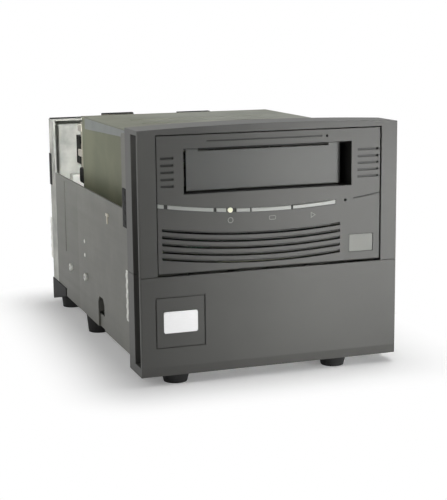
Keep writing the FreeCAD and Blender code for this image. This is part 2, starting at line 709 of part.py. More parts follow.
class Body:
    """A PartDesign body, with each feature drawn on one of its own origin planes.

    Lengths always run along +X, +Y or +Z: a plane's sketch lies at the given place along its
    normal axis, and pads and pockets go on from there.
    """

    def __init__(self, label, x="0", y="0", z="0"):
        self.item = doc.addObject("PartDesign::Body", label)
        self.item.AllowCompound = True
        node(label, self.item)
        place(self.item, x, y, z)
        self.count = 0

    def origin(self, role):
        return [part for part in self.item.Origin.OriginFeatures if part.Role == role][0]

    def name(self, kind):
        self.count += 1
        return f"{self.item.Label}_{kind}_{self.count}"

    def sketch(self, plane, at, loops):
        item = self.item.newObject("Sketcher::SketchObject", self.name("sketch"))
        item.AttachmentSupport = (self.origin(plane + "_Plane"), [""])
        item.MapMode = "FlatFace"
        item.setExpression("AttachmentOffset.Base.z", text(f"-({at})" if plane == "XZ" else at))
        for loop in loops:
            draw(item, loop)
        return item

    def pad(self, plane, at, loops, length):
        profile = self.sketch(plane, at, loops)
        item = self.item.newObject("PartDesign::Pad", self.name("pad"))
        item.Profile = profile
        item.Reversed = plane == "XZ"
        item.setExpression("Length", text(length))
        return item

    def pocket(self, plane, at, loops, length):
        profile = self.sketch(plane, at, loops)
        before = self.item.Tip
        item = self.item.newObject("PartDesign::Pocket", self.name("pocket"))
        item.Profile = profile
        item.Reversed = plane != "XZ"
        item.setExpression("Length", text(length))
        cuts.append((before, item))
        return item

    def revolve(self, plane, loops, axis="V_Axis"):
        profile = self.sketch(plane, "0", loops)
        item = self.item.newObject("PartDesign::Revolution", self.name("revolution"))
        item.Profile = profile
        item.ReferenceAxis = (profile, [axis])
        item.Angle = 360
        return item

    def repeat(self, features, axis, step, count, back=False):
        item = self.item.newObject("PartDesign::LinearPattern", self.name("row"))
        item.Originals = features
        item.Direction = (self.origin(axis + "_Axis"), [""])
        item.Reversed = back
        item.setExpression("Length", text(f"({step}) * ({count} - 1)"))
        item.setExpression("Occurrences", text(count))
        self.item.Tip = item
        return item

    def ring(self, features, axis, count):
        item = self.item.newObject("PartDesign::PolarPattern", self.name("ring"))
        item.Originals = features
        item.Axis = (self.origin(axis + "_Axis"), [""])
        item.Angle = 360
        item.setExpression("Occurrences", text(count))
        self.item.Tip = item
        return item

    def round_off(self, radius, wanted, kind="Fillet"):
        """Fillet or chamfer the edges that wanted(edge) picks, in the body's own coordinates."""
        doc.recompute()
        base = self.item.Tip
        edges = [f"Edge{i + 1}" for i, edge in enumerate(base.Shape.Edges) if wanted(edge)]
        item = self.item.newObject("PartDesign::" + kind, self.name(kind.lower()))
        item.Base = (base, edges)
        item.setExpression("Radius" if kind == "Fillet" else "Size", text(radius))
        self.item.Tip = item
        return item


def runs_along(axis, shortest=0.0, **where):
    """Choose straight edges along an axis that lie at the given places."""
    def wanted(edge):
        box = edge.BoundBox
        spans = {"X": box.XLength, "Y": box.YLength, "Z": box.ZLength}
        middle = {"X": box.Center.x, "Y": box.Center.y, "Z": box.Center.z}
        if spans[axis] < max(shortest, 0.01):
            return False
        if any(spans[other] > 0.01 for other in spans if other != axis):
            return False
        return all(any(abs(middle[key] - number(spot)) < 0.02 for spot in spots)
                   for key, spots in where.items())
    return wanted


# ---------------------------------------------------------------- primitives
def box(name, x, y, z, wide, deep, high):
    item = doc.addObject("Part::Box", name)
    item.setExpression("Length", text(wide))
    item.setExpression("Width", text(deep))
    item.setExpression("Height", text(high))
    place(item, x, y, z, in_frame=False)
    return item


TURNS = {"X": FreeCAD.Rotation(FreeCAD.Vector(0, 1, 0), 90),
         "Y": FreeCAD.Rotation(FreeCAD.Vector(1, 0, 0), -90),
         "Z": FreeCAD.Rotation()}


def rod(name, axis, x, y, z, radius, length):
    """A cylinder that starts at a point and runs along +X, +Y or +Z."""
    item = doc.addObject("Part::Cylinder", name)
    item.setExpression("Radius", text(radius))
    item.setExpression("Height", text(length))
    item.Placement = FreeCAD.Placement(FreeCAD.Vector(), TURNS[axis])
    place(item, x, y, z, in_frame=False)
    return item


def cone(name, axis, x, y, z, start_radius, end_radius, length):
    item = doc.addObject("Part::Cone", name)
    item.setExpression("Radius1", text(start_radius))
    item.setExpression("Radius2", text(end_radius))
    item.setExpression("Height", text(length))
    item.Placement = FreeCAD.Placement(FreeCAD.Vector(), TURNS[axis])
    place(item, x, y, z, in_frame=False)
    return item


def prism(name, axis, sides, x, y, z, radius, length):
    """A regular prism with corners at a radius, that runs along +X, +Y or +Z from a point."""
    item = doc.addObject("Part::Prism", name)
    item.Polygon = sides
    item.setExpression("Circumradius", text(radius))
    item.setExpression("Height", text(length))
    item.Placement = FreeCAD.Placement(FreeCAD.Vector(), TURNS[axis])
    place(item, x, y, z, in_frame=False)
    return item


def fused(name, members):
    item = doc.addObject("Part::MultiFuse", name)
    item.Shapes = members
    return item


def cut(name, base, tools):
    tool = tools[0]
    if len(tools) > 1:
        tool = doc.addObject("Part::Compound", name + "_tools")
        tool.Links = tools
    item = doc.addObject("Part::Cut", name)
    item.Base = base
    item.Tool = tool
    return item


def group(label, members):
    """A node of one or more separate solids."""
    item = doc.addObject("Part::Compound", label)
    item.Links = members
    node(label, item)
    place(item)
    return item


# ---------------------------------------------------------------- bezel
def both_sides(inner, outer, bottom, top):
    """The same upright strip on the left and on the right."""
    return [rectangle(inner, outer, bottom, top),
            rectangle(f"-({outer})", f"-({inner})", bottom, top)]


def grooved_sides(moulding, bottom, top):
    """Side wall of a bezel moulding: groove, step behind it and the skin that covers the walls' ends."""
    moulding.pad("XZ", "bezel_wall", both_sides("groove_inner", "groove_side", bottom, top),
                 "side_groove_end - bezel_wall")
    moulding.pad("XZ", "side_groove_end", both_sides("groove_inner", "half_bezel", bottom, top),
                 "groove_step")
    moulding.pad("XZ", "side_groove_end", both_sides("skin_inner", "half_bezel", bottom, top),
                 "bezel_depth - side_groove_end")


def bezel_frame():
    """Upper moulding: an arch round the drive, with grooved sides and a crowned top."""
    frame = Body("bezel_frame")
    arch = [("-half_bezel", "frame_bottom"), ("-half_hole", "frame_bottom"), ("-half_hole", "hole_top"),
            ("half_hole", "hole_top"), ("half_hole", "frame_bottom"), ("half_bezel", "frame_bottom"),
            ("half_bezel", "corner_height", "crown_radius", 1), ("-half_bezel", "corner_height")]
    crown = [("-half_bezel", "hole_top"), ("half_bezel", "hole_top"),
             ("half_bezel", "corner_height", "crown_radius", 1), ("-half_bezel", "corner_height")]
    frame.pad("XZ", "0", [arch], "bezel_wall")
    frame.pad("XZ", "bezel_wall", [crown], "bezel_depth - bezel_wall")
    grooved_sides(frame, "frame_bottom", "hole_top")
    frame.pad("XZ", "bezel_wall", both_sides("half_hole", "half_hole + collar_wall", "frame_bottom",
                                             "hole_top"), "collar_depth - bezel_wall")
    for left, right in (("half_hole", "groove_side"), ("-groove_side", "-half_hole")):
        rib = frame.pad("XY", "frame_bottom + frame_rib_rise",
                        [rectangle(left, right, "bezel_wall", "collar_depth - frame_rib")], "frame_rib")
        frame.repeat([rib], "Z", "frame_rib_pitch", "frame_rib_count")
    frame.round_off("bezel_round", runs_along("Z", 20, X=("half_bezel", "-half_bezel"), Y=("0",)))


def bezel_lower_panel():
    """Lower moulding: plain face, leaning lip, grooved sides and a recessed badge field."""
    panel = Body("bezel_lower_panel")
    panel.pad("XZ", "0", [rectangle("-half_bezel", "half_bezel", "0", "panel_top")], "bezel_wall")
    panel.pad("XZ", "bezel_wall", [rectangle("-half_bezel", "half_bezel", "0", "bezel_wall")],
              "bezel_depth - bezel_wall")
    grooved_sides(panel, "0", "panel_top")
    panel.pad("XZ", "bezel_wall", both_sides("groove_side", "half_bezel", "0", "lip_height"),
              "side_groove_end - bezel_wall")
    rib = panel.pad("YZ", "panel_rib_inset - groove_inner",
                    [rectangle("bezel_wall", "bezel_wall + panel_rib_depth", "bezel_wall", "panel_top")],
                    "panel_rib")
    panel.repeat([rib], "X", "(2 * groove_inner - 2 * panel_rib_inset - panel_rib) / (panel_rib_count - 1)",
                 "panel_rib_count")
    field = rectangle("field_left", "field_left + badge_field", "badge_field_bottom", "field_top")
    inner = rectangle("field_left + badge_groove", "field_left + badge_field - badge_groove",
                      "badge_field_bottom + badge_groove", "field_top - badge_groove")
    panel.pocket("XZ", "0", [field, inner], "badge_groove")
    seat = rectangle("badge_left - fit_gap", "badge_left + badge_width + fit_gap",
                     "badge_bottom - fit_gap", "badge_bottom + badge_height + fit_gap")
    panel.pocket("XZ", "0", [seat], "badge_seat")
    lean = [("-1", "-1"), ("lip_slope", "-1"), ("lip_slope", "0"), ("0", "lip_height"), ("-1", "lip_height")]
    panel.pocket("YZ", "-half_bezel - 1", [lean], "2 * half_bezel + 2")
    panel.round_off("bezel_round", runs_along("Z", 20, X=("half_bezel", "-half_bezel"), Y=("0",)))


def badge_plate():
    """Blank plate in the middle of the badge field."""
    plate = Body("badge_plate")
    plate.pad("XZ", "-badge_proud",
              [rectangle("badge_left", "badge_left + badge_width", "badge_bottom",
                         "badge_bottom + badge_height")], "badge_seat + badge_proud")
    plate.round_off("badge_round", runs_along("Y"), "Chamfer")


# ---------------------------------------------------------------- carrier
def chassis_floor():
    """Floor sheet with upturned edges, a slotted front wall and the pads of the supply's board."""
    floor = Body("chassis_floor")
    edge = "floor_level + floor_flange"
    trough = [("-trough_outer", "floor_level"), ("trough_outer", "floor_level"), ("trough_outer", edge),
              ("trough_inner", edge), ("trough_inner", "floor_top"), ("-trough_inner", "floor_top"),
              ("-trough_inner", edge), ("-trough_outer", edge)]
    start = "wall_front + sheet_steel"
    floor.pad("XZ", start, [trough], f"panel_face - ({start}) - joint_gap")
    floor.pad("XZ", start, [rectangle("-floor_front_half", "floor_front_half", "floor_top",
                                      "shelf_level - joint_gap")], "sheet_steel")
    row = "(floor_slot_count - 1) * floor_slot_pitch + floor_slot"
    slot = floor.pocket("XZ", f"{start} - 1",
                        [rectangle(f"-({row}) / 2", f"-({row}) / 2 + floor_slot", "floor_slot_bottom",
                                   "floor_slot_bottom + floor_slot_height")], "sheet_steel + 2")
    floor.repeat([slot], "X", "floor_slot_pitch", "floor_slot_count")
    vent = floor.pocket("XY", "floor_level - 1",
                        [rectangle("-floor_vent_half", "floor_vent_half", "floor_vent_front",
                                   "floor_vent_front + floor_vent")], "sheet_steel + 2")
    floor.repeat([vent], "Y", "floor_vent_pitch", "floor_vent_count")
    inset = "2 * supply_pad"
    pads = [rectangle(left, f"{left} + supply_pad", front_edge, f"{front_edge} + supply_pad")
            for left in (f"-supply_half + {inset}", f"supply_half - {inset} - supply_pad")
            for front_edge in (f"supply_front + {inset}", f"supply_back - {inset} - supply_pad")]
    floor.pad("XY", "floor_top", pads, "supply_rise")


def side_wall(label, side):
    """One side sheet: low in the middle, with a tall ear behind the bezel and a latch notch."""
    wall = Body(label)
    start = "-half_chassis" if side < 0 else "wall_inner"
    back = "flange_front - joint_gap"
    ear = "wall_front + front_ear_depth"
    outline = [("wall_front", "floor_level"), (back, "floor_level"), (back, "wall_height"),
               (ear, "wall_height"), (ear, "front_ear_top"), ("wall_front", "front_ear_top")]
    wall.pad("YZ", start, [outline], "sheet_steel")
    rim_start = "-wall_inner" if side < 0 else "wall_inner - notch_bevel"
    rim_bottom = "floor_top + floor_flange"
    notch_top = "floor_level + notch_height"
    notch_back = "notch_front + notch_width"
    wall.pad("YZ", rim_start, [rectangle("notch_front - notch_rim", "notch_front", rim_bottom, notch_top),
                               rectangle(notch_back, f"{notch_back} + notch_rim", rim_bottom, notch_top)],
             "notch_bevel")
    notch = [("notch_front", "floor_level - 1"), (notch_back, "floor_level - 1"),
             (notch_back, f"{notch_top} - notch_bevel"), (f"{notch_back} - notch_bevel", notch_top),
             ("notch_front + notch_bevel", notch_top), ("notch_front", f"{notch_top} - notch_bevel")]
    wall.pocket("YZ", start, [notch], "sheet_steel")
    wall.pocket("YZ", start, [rectangle("guide_front - fit_gap", "guide_front + guide_front_width + fit_gap",
                                        "guide_bottom - fit_gap",
                                        "guide_bottom + guide_height + fit_gap")], "sheet_steel")
    wall.pocket("YZ", start, [circle(depth, level, "side_screw_radius + fit_gap")
                              for depth, level in SIDE_SCREWS], "sheet_steel")
    line = "-half_chassis" if side < 0 else "half_chassis - wall_line"
    line_front = "module_depth - wall_line_back"
    wall.pocket("YZ", line, [rectangle(line_front, f"{line_front} + wall_line_width", "wall_line_bottom",
                                       "wall_height - wall_line_margin")], "wall_line")
    wall.round_off("wall_round", runs_along("X", Y=(ear,), Z=("wall_height", "front_ear_top")))


def rear_panel():
    """Rear sheet with side returns, a folded top, a raised tab and the openings for its fittings."""
    panel = Body("rear_panel")
    tab_right = "tab_left + tab_width"
    plate = [("-half_chassis", "floor_level"), ("half_chassis", "floor_level"),
             ("half_chassis", "rear_panel_top"), (tab_right, "rear_panel_top"), (tab_right, "tab_top"),
             ("tab_left", "tab_top"), ("tab_left", "rear_panel_top"), ("-half_chassis", "rear_panel_top")]
    panel.pad("XZ", "panel_face", [plate], "sheet_steel")
    for start in ("-half_chassis", "wall_inner"):
        panel.pad("YZ", start, [rectangle("flange_front", "module_depth", "floor_level",
                                          "rear_panel_top")], "sheet_steel")
    panel.pad("XY", "rear_panel_top - sheet_steel",
              [rectangle("-half_chassis", "half_chassis", "panel_face - rear_top_flange", "module_depth")],
              "sheet_steel")
    panel.pad("XY", "tab_top - sheet_steel", [rectangle("tab_left", tab_right, "panel_face - tab_depth",
                                                        "module_depth")], "sheet_steel")
    guide = rectangle("guide_rear - fit_gap", "module_depth + 1", "guide_bottom - fit_gap",
                      "guide_bottom + guide_height + fit_gap")
    panel.pocket("YZ", "-half_chassis - 1", [guide], "guide_notch + 1")
    panel.pocket("YZ", "half_chassis - guide_notch", [guide], "guide_notch + 1")
    through = [circle("fan_across", "fan_centre", "fan_duct")]
    through += [circle(f"fan_across + {across}", f"fan_centre + {up}", "fan_screw_radius + fit_gap")
                for across, up in FAN_SCREWS]
    through += [rectangle(f"{left} - fit_gap", f"{left} + {wide} + fit_gap",
                          f"{bottom} - fit_gap", f"{bottom} + {high} + fit_gap")
                for left, bottom, wide, high in (INLET, ROCKER, *SOCKETS, SELECTOR)]
    panel.pocket("XZ", "panel_face - 1", through, "sheet_steel + 2")
    vent = panel.pocket("XZ", "panel_face - 1", [rectangle("vent_left", "vent_left + vent_width",
                                                           "vent_bottom", "vent_bottom + vent_height")],
                        "sheet_steel + 2")
    panel.repeat([vent], "X", "vent_pitch", "vent_count")
    panel.round_off("rear_round", runs_along("Z", 10, X=("half_chassis", "-half_chassis"),
                                             Y=("module_depth",)))


def drive_shelf():
    """Shelf under the drive, folded down at both sides against the side walls."""
    shelf = Body("drive_shelf")
    fold = "shelf_level - shelf_fold"
    profile = [("-trough_outer", fold), ("-trough_inner", fold), ("-trough_inner", "shelf_level"),
               ("trough_inner", "shelf_level"), ("trough_inner", fold), ("trough_outer", fold),
               ("trough_outer", "shelf_top"), ("-trough_outer", "shelf_top")]
    shelf.pad("XZ", "shelf_front", [profile], "shelf_back - shelf_front")
    slot = shelf.pocket("XY", "shelf_level - 1", [rectangle("-shelf_slot_half", "shelf_slot_half",
                                                            "shelf_slot_front",
                                                            "shelf_slot_front + shelf_slot")],
                        "sheet_steel + 2")
    shelf.repeat([slot], "Y", "shelf_slot_pitch", "shelf_slot_count")
    shelf.pocket("XY", "shelf_level - 1", [circle(across, depth, "drive_screw_radius + fit_gap")
                                           for across, depth in MOUNT_SPOTS], "sheet_steel + 2")


def side_guides():
    """Black plastic guides that stand in the slots near the walls' front and rear ends."""
    guides = Body("side_guides")
    inside = "half_chassis + guide_proud - guide_thickness"
    for depth, width in (("guide_front", "guide_front_width"), ("guide_rear", "guide_rear_width")):
        for start in ("-half_chassis - guide_proud", inside):
            guides.pad("YZ", start, [rectangle(depth, f"{depth} + {width}", "guide_bottom",
                                               "guide_bottom + guide_height")], "guide_thickness")


# ---------------------------------------------------------------- drive
def drive_bezel():
    """Drive's moulded front: cartridge slot and tunnel, side slots, trim arc and curved louvres."""
    face = Body("drive_bezel")
    whole = rectangle("-half_drive_bezel", "half_drive_bezel", "drive_bezel_bottom", "drive_bezel_top")
    hollow = rectangle("-half_drive_bezel + drive_wall", "half_drive_bezel - drive_wall",
                       "drive_bezel_bottom + drive_wall", "drive_bezel_top - drive_wall")
    face.pad("XZ", "drive_face", [whole], "drive_wall")
    face.pad("XZ", "drive_wall_back", [whole, hollow], "drive_bezel_depth - drive_wall")
    tunnel = rectangle("slot_left - slot_wall", "slot_right + slot_wall", "slot_bottom - slot_wall",
                       "slot_top + slot_wall")
    face.pad("XZ", "drive_face", [tunnel], "tunnel_back - drive_face")
    slot = rectangle("slot_left", "slot_right", "slot_bottom", "slot_top")
    face.pocket("XZ", "drive_face", [slot], "tunnel_back - drive_face")
    face.pocket("YZ", "slot_left - slot_wall",
                [circle("pivot_depth", "pivot_level", "door_pin_radius + fit_gap")],
                "slot_width + 2 * slot_wall")
    face.pocket("XZ", "drive_face", [rectangle("top_groove_left", "top_groove_right", "top_groove_level",
                                               "top_groove_level + thin_groove")], "thin_groove_depth")
    for left, width in (("left_slot", "left_slot_width"), ("right_slot", "right_slot_width")):
        slot = face.pocket("XZ", "drive_face", [rectangle(left, f"{left} + {width}",
                                                          "side_slot_top - side_slot_height",
                                                          "side_slot_top")], "side_slot_depth")
        face.repeat([slot], "Z", "side_slot_pitch", "side_slot_count", back=True)
    face.pocket("XZ", "drive_face", [arc_band("-half_drive_bezel - 1", "trim_right + fit_gap", "trim_level",
                                              "trim_height + 2 * fit_gap")], "trim_groove")
    face.pocket("XZ", "drive_face", [arc_band("thin_groove_left", "half_drive_bezel + 1",
                                              "trim_level + thin_groove / 2", "thin_groove")],
                "thin_groove_depth")
    face.pocket("XZ", "drive_face", [arc_band("eject_left - key_gap", "eject_right + key_gap", "trim_level",
                                              "trim_height + 2 * key_gap")], "drive_wall")
    face.pocket("XZ", "drive_face", [circle("keyhole_across", "trim_level + keyhole_rise",
                                            "keyhole_radius")], "drive_wall")
    face.pocket("XZ", "drive_face", [circle("led_across", "led_level", "led_radius + fit_gap")],
                "drive_wall")
    louvre = face.pocket("XZ", "drive_face", [arc_band("louvre_left", "louvre_right", "louvre_level",
                                                       "louvre_height")], "drive_wall")
    face.repeat([louvre], "Z", "louvre_pitch", "louvre_count", back=True)
    bosses = [rectangle(f"{across} - board_boss / 2", f"{across} + board_boss / 2", "lamp_board_bottom",
                        "lamp_board_bottom + lamp_board_height") for across in ("-boss_across", "boss_across")]
    face.pad("XZ", "drive_wall_back", bosses, "lamp_board_front - drive_wall_back")
    face.pocket("XZ", "drive_face", [rectangle("patch_left", "patch_left + patch_width", "patch_bottom",
                                               "patch_bottom + patch_height")], "patch_depth")
    face.round_off("drive_chamfer", runs_along("X", 60, Y=("drive_face",), Z=("drive_bezel_bottom",)),
                   "Chamfer")


def receiver_door():
    """Flap that closes the slot; it hangs on a pin and swings up and inwards over the cartridge."""
    door = Body("receiver_door")
    back = "door_face + door_thickness"
    door.pad("XZ", "door_face", [rectangle("door_left", "door_right", "door_bottom", "door_top")],
             "door_thickness")
    root = "door_top - 2 * door_thickness"
    ear = [("door_face", root), (back, root), (back, "pivot_level", "door_thickness / 2", 1),
           ("door_face", "pivot_level")]
    door.pad("YZ", "door_left", [ear], "door_ear")
    door.pad("YZ", "door_right - door_ear", [ear], "door_ear")
    spacing = "(door_right - door_left) / 5"
    rib = door.pad("XZ", back, [rectangle(f"door_left + {spacing}", f"door_left + {spacing} + door_rib",
                                          "door_bottom + 3 * door_rib", "door_top - 5 * door_rib")],
                   "door_rib_height")
    door.repeat([rib], "X", spacing, "4")
    door.pocket("YZ", "door_left", [circle("pivot_depth", "pivot_level", "door_pin_radius + running_gap")],
                "door_right - door_left")
    door.round_off("door_rib_height", runs_along("X", 60, Y=("door_face",), Z=("door_top", "door_bottom")),
                   "Chamfer")


def door_pin():
    """Steel pin through the door's ears, held in the walls of the tunnel."""
    group("door_pin", [rod("door_pin_rod", "X", "slot_left - slot_wall", "pivot_depth", "pivot_level",
                           "door_pin_radius", "slot_width + 2 * slot_wall")])


def trim():
    """Bright trim along the arc, in separate pieces between the drive's lamps and button."""
    strip = Body("trim_strip")
    for left, right in TRIM_PIECES:
        strip.pad("XZ", "drive_face + trim_groove - trim_thickness",
                  [arc_band(left, right, "trim_level", "trim_height")], "trim_thickness")


def eject_button():
    """Push button that fills a stretch of the trim's arc, with a stem to its switch."""
    button = Body("eject_button")
    cap_back = "button_face + eject_cap"
    stem_front = f"{cap_back} + eject_flange"
    button.pad("XZ", "button_face", [arc_band("eject_left", "eject_right", "trim_level", "trim_height")],
               "eject_cap")
    button.pad("XZ", cap_back, [rectangle("eject_left + door_ear", "eject_right - door_ear",
                                          "trim_level - trim_height / 2 - key_gap",
                                          "trim_level + trim_height + 2 * key_gap")], "eject_flange")
    button.pad("XZ", stem_front, [rectangle("eject_middle - eject_stem / 2", "eject_middle + eject_stem / 2",
                                            "trim_level - eject_stem / 4",
                                            "trim_level + 3 * eject_stem / 4")],
               f"switch_face - eject_travel - fit_gap - ({stem_front})")


def drive_casting():
    """Die-cast tray of the drive: floor, side walls with bosses and a rear wall with openings."""
    casting = Body("drive_casting")
    trough = [("-half_drive", "drive_bottom"), ("half_drive", "drive_bottom"),
              ("half_drive", "casting_top"), ("cavity_half", "casting_top"),
              ("cavity_half", "casting_inside"), ("-cavity_half", "casting_inside"),
              ("-cavity_half", "casting_top"), ("-half_drive", "casting_top")]
    casting.pad("XZ", "casting_front", [trough], "drive_back - casting_front")
    casting.pad("XZ", "drive_back - casting_wall",
                [rectangle("-half_drive", "half_drive", "drive_bottom", "casting_top")], "casting_wall")
    for start in ("-cavity_half", "cavity_half - ledge_width"):
        ledge = casting.pad("XY", "casting_inside",
                            [rectangle(start, f"{start} + ledge_width", "deck_front",
                                       "deck_front + ledge_depth")], "deck_level - casting_inside")
        casting.repeat([ledge], "Y", "ledge_pitch", "ledge_count")
    bosses = [rectangle(f"{across} - mount_boss / 2", f"{across} + mount_boss / 2",
                        f"{depth} - mount_boss / 2", f"{depth} + mount_boss / 2")
              for across, depth in MOUNT_SPOTS]
    casting.pad("XY", "casting_inside", bosses, "mount_boss")
    posts = [rectangle(f"{across} - board_post / 2", f"{across} + board_post / 2",
                       f"{depth} - board_post / 2", f"{depth} + board_post / 2")
             for across, depth in BOARD_POSTS]
    casting.pad("XY", "casting_inside", posts, "board_level - casting_inside")
    windows = [rectangle(f"{left} - joint_gap", f"{right} + joint_gap", "board_top - joint_gap",
                         f"board_top + {high} + joint_gap") for left, right, high in DRIVE_SOCKETS]
    casting.pocket("XZ", "drive_back - casting_wall", windows, "casting_wall")
    casting.pocket("XY", "drive_bottom", [circle(across, depth, "drive_screw_radius")
                                          for across, depth in MOUNT_SPOTS],
                   "casting_floor + mount_boss - casting_wall / 2")


def drive_cover():
    """Top cover with side lips that grow towards the rear."""
    cover = Body("drive_cover")
    cover.pad("XY", "casting_top", [rectangle("-cover_half", "cover_half", "casting_front", "drive_back")],
              "cover_sheet")
    lip_end = "drive_back - cover_lip_end"
    lip = [("casting_front", "casting_top - cover_lip_front"), (lip_end, "casting_top - cover_lip_rear"),
           (lip_end, "casting_top"), ("casting_front", "casting_top")]
    cover.pad("YZ", "-cover_half", [lip], "cover_sheet")
    cover.pad("YZ", "cover_half - cover_sheet", [lip], "cover_sheet")
    bead = cover.pad("XY", "drive_top", [rectangle("-bead_half", "bead_half", "deck_front",
                                                   "deck_front + bead_width")], "cover_bead")
    cover.repeat([bead], "Y", "bead_pitch", "4")


def deck():
    """Plate that carries the reels, the rollers and the head."""
    plate = Body("deck")
    plate.pad("XY", "deck_level", [rectangle("-deck_half", "deck_half", "deck_front", "deck_back")],
              "deck_sheet")
    plate.pocket("XY", "deck_level",
                 [circle("slot_centre", "hub_depth", "spindle_radius + running_gap"),
                  circle("reel_across", "reel_depth", "spindle_radius + running_gap"),
                  circle("head_across", "head_depth", "lead_screw_radius + running_gap")], "deck_sheet")
    windows = [rectangle(left, f"{left} + deck_window", "deck_window_front",
                         "deck_window_front + deck_window_depth")
               for left in ("deck_window_left", "-deck_window_left - deck_window")]
    plate.pocket("XY", "deck_level", windows, "deck_sheet")


def cartridge_receiver():
    """Cage that takes the cartridge and lowers it on to its hub, guided by its side lugs."""
    cage = Body("cartridge_receiver", x="slot_centre")
    floor = "cartridge_bottom - receiver_sheet"
    trough = [("-receiver_outer", floor), ("receiver_outer", floor), ("receiver_outer", "cartridge_top"),
              ("receiver_inner", "cartridge_top"), ("receiver_inner", "cartridge_bottom"),
              ("-receiver_inner", "cartridge_bottom"), ("-receiver_inner", "cartridge_top"),
              ("-receiver_outer", "cartridge_top")]
    cage.pad("XZ", "receiver_front", [trough], "receiver_depth")
    for band in ("receiver_front + receiver_band_front", "receiver_back - receiver_band"):
        cage.pad("XY", "cartridge_top", [rectangle("-receiver_outer", "receiver_outer", band,
                                                   f"{band} + receiver_band")], "receiver_sheet")
    cage.pocket("XY", floor, [rectangle("-hub_opening", "hub_opening", "hub_depth - hub_opening",
                                        "hub_depth + hub_opening")], "receiver_sheet")
    lugs = [rectangle(depth, f"{depth} + receiver_lug", "lug_level", "lug_level + receiver_lug")
            for depth in LUGS]
    cage.pad("YZ", "-plate_outer", lugs, "plate_gap + plate_sheet")
    cage.pad("YZ", "receiver_outer", lugs, "plate_gap + plate_sheet")


def receiver_side_plates():
    """Two upright plates on the deck, with slots that guide the receiver's lugs up and down."""
    plates = Body("receiver_side_plates", x="slot_centre")
    foot = "plate_inner + plate_foot"
    span = rectangle("plate_front", "plate_back", "deck_top", "lug_level + plate_rise")
    slots = [rectangle(f"{depth} - fit_gap", f"{depth} + receiver_lug + fit_gap",
                       "lug_level - receiver_drop - fit_gap", "lug_level + receiver_lug + fit_gap")
             for depth in LUGS]
    for upright, sole in (("plate_inner", ("plate_inner", foot)),
                          ("-plate_outer", (f"-({foot})", "-plate_inner"))):
        plates.pad("YZ", upright, [span], "plate_sheet")
        plates.pad("XY", "deck_top", [rectangle(*sole, "plate_front", "plate_back")], "plate_sheet")
        plates.pocket("YZ", upright, slots, "plate_sheet")


def supply_hub():
    """Toothed drive disc under the cartridge, on the spindle of its motor."""
    hub = Body("supply_hub", x="slot_centre", y="hub_depth")
    under = "deck_top + joint_gap"
    profile = [("0", "spindle_bottom"), ("spindle_radius", "spindle_bottom"), ("spindle_radius", under),
               ("hub_radius - hub_chamfer", under), ("hub_radius", f"{under} + hub_chamfer"),
               ("hub_radius", "hub_top"), ("0", "hub_top")]
    hub.revolve("XZ", [profile])
    tooth = hub.pad("XZ", "hub_radius - tooth_length - 1",
                    [rectangle("-tooth_width / 2", "tooth_width / 2", "hub_top - fit_gap",
                               "hub_top + tooth_height")], "tooth_length")
    hub.ring([tooth], "Z", "hub_teeth")


def takeup_reel():
    """Take-up reel with two pierced flanges, on the spindle of its motor."""
    reel = Body("takeup_reel", x="reel_across", y="reel_depth")
    bottom, top = "reel_low - reel_flange", "reel_high + reel_flange"
    profile = [("0", "spindle_bottom"), ("spindle_radius", "spindle_bottom"), ("spindle_radius", bottom),
               ("reel_radius", bottom), ("reel_radius", "reel_low"), ("reel_hub_radius", "reel_low"),
               ("reel_hub_radius", "reel_high"), ("reel_radius", "reel_high"), ("reel_radius", top),
               ("0", top)]
    reel.revolve("XZ", [profile])
    near = "(reel_hub_radius + reel_radius - reel_window) / 2"
    window = reel.pocket("XY", bottom, [rectangle(near, f"{near} + reel_window", "-reel_window_width / 2",
                                                  "reel_window_width / 2")], "reel_gap + 2 * reel_flange")
    reel.ring([window], "Z", "reel_windows")


def guide_rollers():
    """Rollers that carry the tape past the head."""
    bore = "roller_pin_radius + running_gap"
    for i, (across, depth) in enumerate(ROLLER_SPOTS, start=1):
        roller = Body(f"guide_roller_{i}", x=across, y=depth)
        roller.revolve("XZ", [rectangle(bore, "roller_radius", "tape_low", "tape_high")])


def head():
    """Recording head on a carriage that a lead screw lifts along two guide shafts."""
    left, right = "head_left_side", "head_right_side"
    shaft = "guide_radius + running_gap"
    carriage = Body("head_carriage")
    carriage.pad("XY", "tape_low", [rectangle(left, right, "head_near", "head_far")], "2 * tape_half")
    bores = [circle("head_across", "head_depth", "lead_screw_radius + running_gap")]
    bores += [circle("head_across - guide_across", f"head_depth {sign} guide_spread", shaft)
              for sign in ("-", "+")]
    carriage.pocket("XY", "tape_low", bores, "2 * tape_half")
    tip = Body("tape_head")
    face = f"{right} + head_tip"
    nose = [(right, "head_depth - head_tip_half"), (face, "head_depth - head_tip_half", "head_tip_radius", 1),
            (face, "head_depth + head_tip_half"), (right, "head_depth + head_tip_half")]
    tip.pad("XY", "tape_low + 1", [nose], "2 * tape_half - 2")
    bridge = Body("head_bridge")
    outside = f"{left} - 2 * bridge_sheet"
    bridge.pad("XY", "bridge_level", [rectangle(outside, right, "head_near", "head_far")], "bridge_sheet")
    bridge.pad("XY", "deck_top", [rectangle(outside, f"{outside} + bridge_sheet", "head_near", "head_far")],
               "bridge_level - deck_top")
    bridge.pocket("XY", "bridge_level", [circle("head_across", "head_depth",
                                                "lead_screw_radius + running_gap")], "bridge_sheet")
    group("head_lead_screw", [rod("lead_screw_rod", "Z", "head_across", "head_depth", "spindle_bottom",
                                  "lead_screw_radius", "bridge_level + bridge_sheet - spindle_bottom")])


